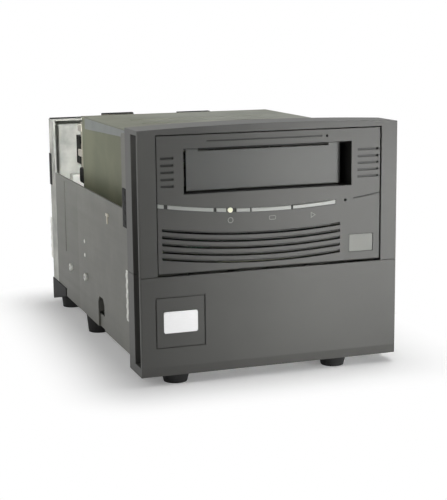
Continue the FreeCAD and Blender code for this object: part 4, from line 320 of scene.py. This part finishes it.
# %% Drive cover
# Painted light: the cover turns paler from the first of these places across it to the second, as if lit
# from the right.
PAINTED_LIGHT_FROM, PAINTED_LIGHT_TO = -60 * MM, 20 * MM  # across the cover


def cover_steel(name, colour, painted_lit_colour, painted_lit_lip_colour, level):
    """Cover sheet, painted paler to the right and on its folded lips: painted light."""
    paint = Paint(name, colour, 0.6, 0.1)
    streaks = paint.noise(1.0, 3.0, 0.6, paint.stretched(*ROLLED_ALONG))
    clouds = paint.noise(CLOUDS, 4.0, 0.6)
    plate = paint.blend(paint.axis(0).between(PAINTED_LIGHT_FROM, PAINTED_LIGHT_TO), colour, painted_lit_colour)
    tone = paint.blend(above(paint, level), painted_lit_lip_colour, plate)
    paint.set("Base Color", paint.blend(clouds.between(0.3, 0.8) * 0.15, tone, (0.0, 0.0, 0.0)))
    paint.set("Roughness", 0.52 + streaks * 0.1 + clouds * 0.1)
    paint.bump(streaks, 0.12, 0.00005)
    return paint.material


# %% [markdown]
# ## Castings, rubber, bright metal, circuit boards and lenses
# The other finishes are one small function each. A casting is pebbly, rubber gathers dust in the
# hollows of its texture, turned metal keeps fine tool marks, a circuit board shows its tracks, and the
# lamp's lens lets a faint glow through. All of them use the same few nodes, so a finish is told apart
# by its numbers and not by a new kind of tree.

# %% Casting, rubber and bright metal
def cast(name, colour, roughness=0.55, metallic=0.35):
    """Die casting: pebbly skin with a soft variation."""
    paint = Paint(name, colour, roughness, metallic)
    pebble, broad = paint.noise(900.0, 4.0, 0.6), paint.noise(30.0, 2.0)
    paint.set("Base Color", paint.blend(broad.between(0.35, 0.7), shade(colour, 0.88),
                                        shade(colour, 1.08)))
    paint.set("Roughness", roughness - 0.05 + pebble * 0.12)
    paint.bump(pebble, 0.3, 0.00012)
    return paint.material


def rubber(name, colour, roughness=0.78):
    """Moulded rubber, dusty in the hollows of its texture."""
    paint = Paint(name, colour, roughness)
    grain, dust = paint.noise(1500.0, 3.0), paint.noise(60.0, 4.0)
    paint.set("Base Color", paint.blend(dust.between(0.45, 0.8), colour, shade(colour, 1.7)))
    paint.set("Roughness", roughness - 0.05 + grain * 0.1)
    paint.bump(grain, 0.3, 0.0001)
    return paint.material


def bright(name, colour, roughness=0.25, metallic=1.0):
    """Plated or turned metal with fine tool marks."""
    paint = Paint(name, colour, roughness, metallic)
    marks = paint.noise(1.0, 2.0, 0.5, paint.stretched(300.0, 300.0, 3000.0))
    paint.set("Roughness", roughness - 0.05 + marks * 0.12)
    paint.set("Base Color", paint.blend(marks, shade(colour, 0.92), shade(colour, 1.05)))
    paint.bump(marks, 0.08, 0.00003)
    return paint.material


# %% Circuit board and lens
def circuit_board(name, colour):
    """Solder resist over copper tracks: a grid of cells shows as slightly lighter lines."""
    paint = Paint(name, colour, 0.4)
    tracks = paint.add("ShaderNodeTexVoronoi", {"feature": "DISTANCE_TO_EDGE"}, Vector=paint.place(),
                       Scale=260.0)
    line = 1.0 - tracks.between(0.02, 0.08)
    paint.set("Base Color", paint.blend(line, colour, shade(colour, 2.4)))
    paint.set("Roughness", 0.35 + line * 0.15)
    return paint.material


def lens(name, colour):
    """Tinted lamp lens over a faintly glowing lamp, a little clearer here and there."""
    paint = Paint(name, colour, 0.12, Coat_Weight=0.6, Emission_Color=(*colour, 1.0),
                  Emission_Strength=0.5)
    paint.set("Base Color", paint.blend(paint.noise(900.0), shade(colour, 0.9), colour))
    return paint.material


# %% [markdown]
# ## Which piece has which finish
# One table names the finish of each piece of the model, and one loop assigns it. Every colour is a
# screen value from 0 to 255, so a maker can hold a sample beside it. The first part is what a visitor
# sees, the second what stays inside.

# %% Finishes of the outside
COVER_FOLD = corners("drive_cover")[1].z - 1.2 * MM  # below this height the cover is its folded lip
# The rear panel's colour turns darker above this height, just under its top edge.
DARK_RIM = corners("rear_panel")[1].z - 1.8 * MM
SLOT_FLOOR = FACE + 1.0 * MM
finishes = {
    "bezel": (moulded("bezel_plastic", srgb(85, 85, 82)), ("bezel_frame", "bezel_lower_panel")),
    # The drive's front is painted darker behind the slot floor: painted shade in its grooves.
    "drive": (moulded("drive_plastic", srgb(84, 84, 81), painted_shade_from=SLOT_FLOOR), ("drive_bezel",)),
    "door": (moulded("door_plastic", srgb(89, 90, 87), 0.45, relief=0.15), ("receiver_door",)),
    "badge": (bright("badge_blank", srgb(250, 250, 250), 0.3, metallic=0.75), ("badge_plate",)),
    "trim": (moulded("trim_silver", srgb(176, 178, 174), 0.3, relief=0.1, mottle=0.03),
             ("trim_strip", "eject_button")),
    "walls": (sheet_steel("carrier_steel", srgb(116, 116, 109), 0.5, 0.2, ROLLED_ALONG,
                          creases=(170.0, 205.0)),
              ("left_side_wall", "right_side_wall", "drive_shelf", "chassis_floor")),
    "rear": (sheet_steel("rear_steel", srgb(188, 189, 182), 0.6, 0.15, cloud=0.3,
                         rim=(DARK_RIM, srgb(66, 64, 54))), ("rear_panel", "supply_case")),
    "casting": (cast("casting_metal", srgb(121, 123, 101), 0.6, 0.25),
                ("drive_casting", "deck", "head_bridge", "head_carriage")),
    # The cover's paler right part and its paler lips are painted light.
    "cover": (cover_steel("cover_steel", srgb(124, 126, 111), srgb(152, 154, 144),
                          srgb(140, 144, 141), COVER_FOLD), ("drive_cover",)),
    "black": (moulded("black_plastic", srgb(20, 20, 20), 0.5, relief=0.15, mottle=0.1, shine=0.06),
              ("side_guides", "rear_corner_guides", "power_inlet", "switch_frame", "fan_frame",
               "fan_rotor", "address_selector", "drive_rear_sockets")),
    "rocker": (moulded("rocker_black", srgb(24, 24, 24), 0.2, relief=0.03), ("power_switch",)),
    "buttons": (moulded("selector_white", srgb(225, 225, 218), 0.35, relief=0.05),
                ("address_button_down", "address_button_up", "address_wheel")),
    "bright": (bright("bright_steel", srgb(232, 232, 226), 0.4, 0.4),
               ("deck_pins", "head_lead_screw", "contact_springs", "small_screws", "large_screws",
                "jack_posts", "tape_head", "data_sockets")),
    "lens": (lens("lamp_lens", srgb(214, 214, 190)), ("lamp_lens",)),
    "feet": (rubber("foot_rubber", srgb(30, 30, 30)), ("front_feet", "rear_feet")),
    "gaskets": (rubber("gasket_foam", srgb(26, 26, 26), 0.9), ("rear_top_gaskets",)),
}
print(len(finishes), "finishes outside")

# %% Finishes of the inside
finishes |= {
    "pin": (bright("blackened_steel", srgb(46, 46, 45), 0.5, 0.4), ("door_pin",)),
    "receiver": (sheet_steel("receiver_steel", srgb(160, 160, 155), 0.3),
                 ("cartridge_receiver", "receiver_side_plates")),
    "reels": (moulded("reel_plastic", srgb(48, 48, 50), 0.4, relief=0.1),
              ("supply_hub", "takeup_reel")),
    "rollers": (bright("roller_metal", srgb(205, 205, 200)),
                tuple(f"guide_roller_{i}" for i in range(1, 5))),
    "motors": (cast("motor_steel", srgb(60, 60, 62), 0.4), ("reel_motors", "head_motor")),
    "boards": (circuit_board("circuit_board", srgb(24, 74, 44)),
               ("main_board", "lamp_board", "supply_board")),
    "parts": (moulded("board_components", srgb(34, 34, 36), 0.35), ("board_parts", "supply_parts")),
}
for material, names in finishes.values():
    for name in names:
        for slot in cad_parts[name].material_slots:
            slot.material = material
BLACK, STEEL = finishes["black"][0], finishes["bright"][0]
bare = set(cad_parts) - {name for _, names in finishes.values() for name in names}
print(len(finishes), "finishes in all; pieces without one:", sorted(bare))

# %% [markdown]
# ## Making small pieces
# Two ways make everything that follows. A flat shape with a straight edge is a loop of points that
# is pushed back a little; `band` joins two loops instead, for a frame or a ring. What repeats is
# grown by a Geometry Nodes tree whose sizes are named inputs, so one tree serves several pieces.
# Both end in `place_piece`, which puts the piece in the scene and says what it moves with.

# %% Pieces
def place_piece(name, data):
    """Put a finished mesh in the scene: it moves with the carrier."""
    piece = bpy.data.objects.new(name, data)
    bpy.context.scene.collection.objects.link(piece)
    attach(piece, "carrier")
    print(name, len(data.polygons), "faces")


def keep(name, mesh, material):
    """Turn a bmesh into a piece of one material."""
    bmesh.ops.remove_doubles(mesh, verts=mesh.verts, dist=1e-7)
    bmesh.ops.recalc_face_normals(mesh, faces=mesh.faces)
    data = bpy.data.meshes.new(name)
    mesh.to_mesh(data)
    mesh.free()
    data.materials.append(material)
    place_piece(name, data)


# %% Shapes from loops
def wall_between(mesh, near, far):
    """Faces that join two rows of as many points."""
    for i in range(len(near)):
        k = (i + 1) % len(near)
        mesh.faces.new((near[i], near[k], far[k], far[i]))


def band(mesh, outer, inner, depth):
    """A ring between two loops with as many points, pushed straight back by a depth."""
    back = Vector((0, depth * MM, 0))
    rows = [[mesh.verts.new(point + shift) for point in loop] for shift in (Vector(), back)
            for loop in (outer, inner)]
    for first, second in ((0, 1), (1, 3), (3, 2), (2, 0)):
        wall_between(mesh, rows[first], rows[second])


def slab(mesh, loop, offset, bevel):
    """A flat shape pushed back by an offset, with its front edge drawn in by a bevel."""
    offset, middle = Vector(offset) * MM, sum(loop, Vector()) / len(loop)
    drawn = [point + (middle - point).normalized() * bevel * MM for point in loop]
    rim = [point + offset.normalized() * bevel * MM for point in loop]
    back = [point + offset for point in loop]
    rows = [[mesh.verts.new(point) for point in row] for row in (drawn, rim, back)]
    for near, far in zip(rows, rows[1:]):
        wall_between(mesh, near, far)
    mesh.faces.new(rows[0])
    mesh.faces.new(rows[-1][::-1])


# %% Loops
def circle_at(across, depth, up, radius, steps=32):
    """Loop of points round a place on a front-facing surface."""
    angles = [math.tau * i / steps for i in range(steps)]
    return [at(across + radius * math.cos(angle), depth, up + radius * math.sin(angle))
            for angle in angles]


def oblong(left, right, low, high, depth, corner=0.8, steps=5):
    """Loop of a rectangle with rounded corners on a front-facing surface."""
    points = []
    for x, z, start in ((right - corner, high - corner, 0), (left + corner, high - corner, 90),
                        (left + corner, low + corner, 180), (right - corner, low + corner, 270)):
        for i in range(steps + 1):
            angle = math.radians(start + 90 * i / steps)
            points.append(at(x + corner * math.cos(angle), depth, z + corner * math.sin(angle)))
    return points


def side_loop(points, across):
    """Loop on a surface that faces sideways, from pairs of depth and height."""
    return [at(across, depth, up) for depth, up in points]


# %% [markdown]
# ## Marks on the drive's front
# Three plain pictograms under the bright trim stand for the lamps: a ring, a tape cassette's outline
# and a triangle. They could be painted by a mask in the drive's material, but as thin bands they stay
# sharp at any distance. A bare grey film fills the shallow seat at the lower right, and a small dark
# plug closes the end of the groove above the slot. All are a few hundredths of a millimetre proud, as
# ink and film are.

# %% Pictograms
INK = moulded("printed_grey", srgb(138, 138, 134), 0.4, relief=0.02)
PRINT, INK_DEPTH, ICON_LEVEL = 0.74, 0.1, 95.6
RING_ACROSS, TRIANGLE_ACROSS = -27.4, 27.7
CASSETTE_LEFT, CASSETTE_RIGHT, CASSETTE_HALF, LINE = -1.8, 2.8, 1.4, 0.5

icons = bmesh.new()
band(icons, *(circle_at(RING_ACROSS, PRINT, ICON_LEVEL, radius) for radius in (1.9, 1.35)), INK_DEPTH)
band(icons, oblong(CASSETTE_LEFT, CASSETTE_RIGHT, ICON_LEVEL - CASSETTE_HALF,
                   ICON_LEVEL + CASSETTE_HALF, PRINT),
     oblong(CASSETTE_LEFT + LINE, CASSETTE_RIGHT - LINE, ICON_LEVEL - CASSETTE_HALF + LINE,
            ICON_LEVEL + CASSETTE_HALF - LINE, PRINT, 0.3), INK_DEPTH)
band(icons, *(circle_at(TRIANGLE_ACROSS, PRINT, ICON_LEVEL, radius, 3) for radius in (2.3, 1.4)),
     INK_DEPTH)
keep("lamp_pictograms", icons, INK)

# %% Bare label and groove plug
FILM = moulded("label_film", srgb(134, 135, 130), 0.3, relief=0.05, mottle=0.12)
LABEL_EDGES, LABEL_DEPTH, LABEL_CORNER = (53.3, 69.7, 70.1, 81.1), 0.95, 0.6

label = bmesh.new()
slab(label, oblong(*LABEL_EDGES, LABEL_DEPTH, LABEL_CORNER), (0, 0.24, 0), 0.08)
keep("blank_label", label, FILM)

plug = bmesh.new()
slab(plug, circle_at(37.6, 0.7, 145.3, 0.9), (0, 0.2, 0), 0.15)
keep("groove_plug", plug, BLACK)

# %% [markdown]
# ## The drive's rear corner
# At the left of the drive's back a pale bracket stands out with two bright bent tabs, and a black
# connector block sits under it. They show through the open side of the carrier. Each is a folded or
# moulded flat shape, so an outline seen from the side, pushed in by its thickness, makes it.

# %% Bracket
DRIVE_BACK, BRACKET_END = 203.3, 211.0
BRACKET = [(DRIVE_BACK, 108.5), (BRACKET_END, 108.5), (BRACKET_END, 125), (209.5, 127),
           (209.5, 131), (BRACKET_END, 133), (BRACKET_END, 142.5), (DRIVE_BACK, 142.5)]

bracket = bmesh.new()
slab(bracket, side_loop(BRACKET, -72.6), (1.0, 0, 0), 0.15)
keep("drive_back_bracket", bracket, sheet_steel("bracket_steel", srgb(176, 172, 152), 0.4))

# %% Bent tabs
TAB_LEVELS, TAB_HALF, TAB_FOOT, TAB_END = (119.0, 138.0), 2.6, 206.0, 218.0
CUT = 1.0  # bevelled corner of a tab
FOLD_DEPTH, FOLD_HALF = 215.6, 2.2

tabs = bmesh.new()
for up in TAB_LEVELS:
    low, high = up - TAB_HALF, up + TAB_HALF
    leaf = [(TAB_FOOT, low), (TAB_END - CUT, low), (TAB_END, low + CUT), (TAB_END, high - CUT),
            (TAB_END - CUT, high), (TAB_FOOT, high)]
    fold = [(FOLD_DEPTH, up - FOLD_HALF), (TAB_END, up - FOLD_HALF), (TAB_END, up + FOLD_HALF),
            (FOLD_DEPTH, up + FOLD_HALF)]
    slab(tabs, side_loop(leaf, -73.4), (0.7, 0, 0), 0.2)
    slab(tabs, side_loop(fold, -72.7), (3.0, 0, 0), 0.2)
keep("drive_back_tabs", tabs, bright("tab_metal", srgb(226, 222, 210), 0.3, 0.6))

# %% Connector block
BLOCK = [(DRIVE_BACK, 96.5), (214, 96.5), (215.5, 98), (215.5, 106), (214, 107.8), (DRIVE_BACK, 107.8)]

connector = bmesh.new()
slab(connector, side_loop(BLOCK, -73.2), (9.0, 0, 0), 0.4)
keep("drive_back_connector", connector, BLACK)

# %% [markdown]
# ## Growing what repeats
# `Growth` holds one Geometry Nodes tree. Its inputs carry the names a maker would use, and `grow`
# sets them on the modifier, turns the result into a plain mesh and removes the modifier. The places
# are the points of a small mesh; Python works them out, and the tree sets one shape on each.

# %% Geometry Nodes helpers
class Growth(Nodes):
    """A Geometry Nodes tree with named sizes, and places for its shape."""

    def __init__(self, name, **sizes):
        super().__init__(bpy.data.node_groups.new(name, "GeometryNodeTree"))
        sockets = self.tree.interface
        sockets.new_socket("Places", in_out="INPUT", socket_type="NodeSocketGeometry")
        for label, value in sizes.items():
            size = sockets.new_socket(label, in_out="INPUT", socket_type="NodeSocketFloat")
            size.default_value = value
        sockets.new_socket("Geometry", in_out="OUTPUT", socket_type="NodeSocketGeometry")
        entry = self.tree.nodes.new("NodeGroupInput")
        self.given = {socket.name: Wire(self, socket) for socket in entry.outputs if socket.name}

    def vector(self, x, y, z):
        return self.add("ShaderNodeCombineXYZ", None, x, y, z)

    def end(self, shape, material):
        """Set the shape on each place, and close the tree with real geometry in one material."""
        set_out = self.add("GeometryNodeInstanceOnPoints", None, self.given["Places"], Instance=shape)
        real = self.add("GeometryNodeRealizeInstances", None, set_out)
        done = self.add("GeometryNodeSetMaterial", None, real, Material=material)
        self.tree.links.new(done.socket, self.tree.nodes.new("NodeGroupOutput").inputs[0])
        return self


def grow(name, growth, places, slot, **sizes):
    """Run a tree on a set of places and keep the result as a plain piece; sizes in millimetres."""
    start = bpy.data.meshes.new(name + "_places")
    start.from_pydata([tuple(place) for place in places], [], [])
    item = bpy.data.objects.new(name + "_places", start)
    bpy.context.scene.collection.objects.link(item)
    modifier = item.modifiers.new("growth", "NODES")
    modifier.node_group = growth.tree
    sockets = {socket.name: socket.identifier for socket in growth.tree.interface.items_tree
               if socket.in_out == "INPUT"}
    for label, value in sizes.items():
        modifier[sockets[label]] = value * MM
    evaluated = item.evaluated_get(bpy.context.evaluated_depsgraph_get())
    data = bpy.data.meshes.new_from_object(evaluated)
    bpy.data.objects.remove(item)
    data.name = name
    place_piece(name, data)


# %% [markdown]
# ## Louvre blades
# Behind each curved opening a blade leans back, so that one sees a lit slope and a thin dark line and
# not into the drive. A long box is bent by the same circle as the openings: the height of a point
# grows with its distance from the middle. The tree then sets one blade on each place.

# %% Blades
LOUVRE_COUNT, LOUVRE_LEVEL, LOUVRE_PITCH, ARC_RADIUS = 5, 87.5, 4.42, 472.0
LOUVRE_MIDDLE, LOUVRE_LENGTH, BLADE_BEHIND = -12.5, 117.8, 2.2

blades = Growth("louvre_blades", Length=0.1, Depth=0.002, Thickness=0.0003, Lean=0.5, Radius=0.4,
                Middle=0.0)
given = blades.given
box = blades.add("GeometryNodeMeshCube", None,
                 Size=blades.vector(given["Length"], given["Depth"], given["Thickness"]),
                 **{"Vertices X": 48})
point = blades.add("GeometryNodeInputPosition")
x, y = (blades.add("ShaderNodeSeparateXYZ", None, point, output=axis) for axis in (0, 1))
across, radius = x + given["Middle"], given["Radius"]
rise = radius - (radius * radius - across * across).maths("SQRT")
bent = blades.add("GeometryNodeSetPosition", None, box,
                  Offset=blades.vector(0.0, 0.0, rise + y * given["Lean"]))
blades.end(bent, moulded("louvre_plastic", srgb(82, 82, 80), 0.5))
grow("louvre_blades", blades,
     [at(LOUVRE_MIDDLE, BLADE_BEHIND, LOUVRE_LEVEL - LOUVRE_PITCH * i) for i in range(LOUVRE_COUNT)],
     "drive_plastic", Length=LOUVRE_LENGTH, Depth=2.6, Thickness=0.35, Radius=ARC_RADIUS,
     Middle=LOUVRE_MIDDLE)

# %% [markdown]
# ## Rivets and ridges
# Rivet heads on the walls and the finger ridges of the front guides are low domes, so one tree that
# squashes a sphere makes both. Half of each dome is sunk in its wall, which hides its lower rim.

# %% Domes
WALL = corners("right_side_wall")[1].x / MM
GUIDE = corners("side_guides")[1].x / MM
SIDES = (-1, 1)
RIVETS = ((150, 52), (150, 62))  # depth and height of each
RIDGE_LEVELS, RIDGE_BEHIND, RIDGE_SUNK = (92.9, 99.1, 105.2, 111.3), 34.0, 0.3


def domes(name, material):
    """Tree that sets a squashed sphere on each place, flattened across."""
    tree = Growth(name, Width=0.001, Length=0.001, Height=0.0005)
    sphere = tree.add("GeometryNodeMeshUVSphere", None, 24, 12, 1.0)
    sizes = tree.vector(tree.given["Height"], tree.given["Width"], tree.given["Length"])
    sized = tree.add("GeometryNodeTransform", None, sphere, Scale=sizes)
    return tree.end(tree.add("GeometryNodeSetShadeSmooth", None, sized), material)


grow("wall_rivets", domes("rivet_heads", STEEL),
     [at(side * WALL, depth, up) for side in SIDES for depth, up in RIVETS],
     "bright_steel", Width=1.5, Length=1.5, Height=0.5)
grow("guide_ridges", domes("guide_bumps", BLACK),
     [at(side * (GUIDE - RIDGE_SUNK), RIDGE_BEHIND, up) for side in SIDES for up in RIDGE_LEVELS],
     "black_plastic", Width=3.6, Length=2.5, Height=0.5)

# %% [markdown]
# ## Painted shade in the screw recesses
# The recess in a screw's head is dark only by the shade in it, and at this size only its cross is seen.
# Two black crossed bars, set almost flush with the head, paint that shade without cutting the head
# itself.

# %% Crosses
HEAD = corners("small_screws")[1].x / MM - 0.1
FAN_HEAD = (corners("large_screws")[1].y - FACE) / MM
SIDE_SCREWS = ((146.5, 36.5), (195, 35))  # depth and height of each
FAN_ACROSS, FAN_UP, FAN_SCREW_REACH = 22, 98, 25


def crosses(name, material, turn):
    """Tree that sets two crossed bars on each place, turned to face along an axis."""
    tree = Growth(name, Reach=0.002, Bar=0.0004)
    reach, bar = tree.given["Reach"], tree.given["Bar"]
    bars = [tree.add("GeometryNodeMeshCube", None, Size=tree.vector(*sizes, bar * 0.4))
            for sizes in ((reach, bar), (bar, reach))]
    both = tree.add("GeometryNodeJoinGeometry", None, bars[0])
    tree.tree.links.new(bars[1].socket, both.socket.node.inputs[0])
    return tree.end(tree.add("GeometryNodeTransform", None, both, Rotation=turn), material)


# Black crosses on the screw heads: painted shade of their recesses.
grow("side_screw_recesses", crosses("side_recess", BLACK, (0.0, math.pi / 2, 0.0)),
     [at(side * HEAD, depth, up) for side in SIDES for depth, up in SIDE_SCREWS],
     "black_plastic", Reach=2.8, Bar=0.55)
grow("fan_screw_recesses", crosses("fan_recess", BLACK, (math.pi / 2, 0.0, 0.0)),
     [at(FAN_ACROSS + i * FAN_SCREW_REACH, FAN_HEAD, FAN_UP + j * FAN_SCREW_REACH)
      for i in SIDES for j in SIDES], "black_plastic", Reach=3.8, Bar=0.7)

# %% [markdown]
# ## Hooks on the side walls
# A small bright T is lanced out of each wall behind the front guide; it is a flat shape like the
# marks, made once for each side.

# %% Wall hooks
TEE_MIDDLE, TEE_HALF, STEM_HALF, TEE_LEVELS = 80.0, 3.0, 0.8, (85, 90.2, 92)
HOOK_PROUD, HOOK_THICK = 0.7, 0.9

stem_low, bar_low, bar_high = TEE_LEVELS
left_half = [(TEE_MIDDLE - TEE_HALF, bar_high), (TEE_MIDDLE - TEE_HALF, bar_low),
             (TEE_MIDDLE - STEM_HALF, bar_low), (TEE_MIDDLE - STEM_HALF, stem_low)]
tee = left_half + [(2 * TEE_MIDDLE - depth, up) for depth, up in reversed(left_half)]
hooks = bmesh.new()
for side in SIDES:
    slab(hooks, side_loop(tee[::side], side * (WALL + HOOK_PROUD)), (-side * HOOK_THICK, 0, 0), 0.15)
keep("wall_hooks", hooks, bright("hook_metal", srgb(200, 194, 178), 0.35, 0.6))

# %% [markdown]
# ## Floor and backdrop
# A white sweep, as for a catalogue: a floor that curves up behind, so that no line divides the two.
# Seen by the camera it is plain white, with the shadow kept close round the object's footprint; for
# everything else it is a pale floor at its own colour, so it throws only a little light back.

# %% Sweep material
def stage_material(shadow_floor=0.2, fade=0.06):
    """Pale floor for the light; white to the eye, to metal and to glass, except in the shadow."""
    material = bpy.data.materials.new("sweep")
    material.use_nodes = True
    nodes = Nodes(material.node_tree)
    nodes.tree.nodes.clear()
    camera_ray, glossy_ray, glass_ray = (nodes.add("ShaderNodeLightPath", output=f"Is {kind} Ray")
                                         for kind in ("Camera", "Glossy", "Transmission"))
    seen = camera_ray.maths("MAXIMUM", glossy_ray).maths("MAXIMUM", glass_ray)

    def vector(operation, *inputs, output=0):
        return nodes.add("ShaderNodeVectorMath", {"operation": operation}, *inputs, output=output)

    beyond = vector("SUBTRACT", vector("ABSOLUTE", nodes.add("ShaderNodeTexCoord", output=3)),
                    (CAD_BOX[1][0], CAD_BOX[1][1], 0.0))
    distance = vector("LENGTH", vector("MAXIMUM", beyond, (0.0, 0.0, 0.0)), output=1)
    away = distance.between(0.0, fade)
    floor, lit = (nodes.add("ShaderNodeBsdfDiffuse", None, (tone, tone, tone, 1.0))
                  for tone in (0.8, 1.0))
    lift, white = (nodes.add("ShaderNodeEmission", None, (1.0, 1.0, 1.0, 1.0), strength)
                   for strength in (shadow_floor, 1.0))
    lifted = nodes.add("ShaderNodeAddShader", None, lit, lift)
    shown = nodes.add("ShaderNodeMixShader", None, away, lifted, white)
    whole = nodes.add("ShaderNodeMixShader", None, seen, floor, shown)
    surface = nodes.tree.nodes.new("ShaderNodeOutputMaterial").inputs["Surface"]
    nodes.tree.links.new(whole.socket, surface)
    return material


# %% Sweep
def sweep(width=6.0, front=3.0, back=3.0, height=3.0, bend=0.8, steps=16):
    """Floor that curves up into a backdrop, in metres."""
    profile = [(-front, 0.0), (back - bend, 0.0)]
    for step in range(1, steps + 1):
        angle = math.pi / 2 * step / steps
        profile.append((back - bend + bend * math.sin(angle), bend * (1 - math.cos(angle))))
    profile.append((back, height))
    mesh = bmesh.new()
    rows = [[mesh.verts.new((side * width / 2, y, z)) for side in SIDES] for y, z in profile]
    for near, far in zip(rows, rows[1:]):
        mesh.faces.new((near[0], near[1], far[1], far[0]))
    data = bpy.data.meshes.new("sweep")
    mesh.to_mesh(data)
    mesh.free()
    data.materials.append(stage_material())
    item = bpy.data.objects.new("sweep", data)
    bpy.context.scene.collection.objects.link(item)
    print("sweep", len(data.polygons), "faces")


sweep()

# %% [markdown]
# ## Lamps
# Four soft lamps and a faint world. The key is narrow and aimed at the right of the front, so the
# face grows darker to the left. The fill stays behind the plane of the face and reaches only the left
# side; the bay lamp is narrow too, passes left of the bezel and lights the inside of the rear panel.
# A narrow beam keeps its power in a small angle, so it needs few watts.

# %% Light the object
def lamp(name, place, target, energy, size, spread=180):
    """Square soft light that faces a target, with its beam narrowed to a spread in degrees."""
    data = bpy.data.lights.new(name, "AREA")
    data.energy, data.size, data.spread = energy, size, math.radians(spread)
    item = bpy.data.objects.new(name, data)
    facing = (Vector(target) - Vector(place)).to_track_quat("-Z", "Y")
    item.matrix_world = Matrix.Translation(Vector(place)) @ facing.to_matrix().to_4x4()
    bpy.context.scene.collection.objects.link(item)
    print("lamp", name, energy, "W")


lamp("key", (0.6, -0.9, 0.2), (0.08, FACE, 0.09), 0.138, 0.2, 12)
lamp("left_fill", (-0.6, -0.12, 0.4), (-0.05, 0.1, 0.1), 0.9, 0.4)
lamp("top", (0.25, 0.0, 1.2), (0.0, 0.0, 0.1), 6.8, 0.7)
lamp("bay", (-0.45, -0.9, 0.45), (-0.085, REAR, 0.12), 0.07, 0.12, 10)

world = bpy.data.worlds.new("studio")
bpy.context.scene.world = world
world.use_nodes = True
background = world.node_tree.nodes["Background"]
background.inputs["Color"].default_value = (1.0, 1.0, 1.0, 1.0)
background.inputs["Strength"].default_value = 0.155
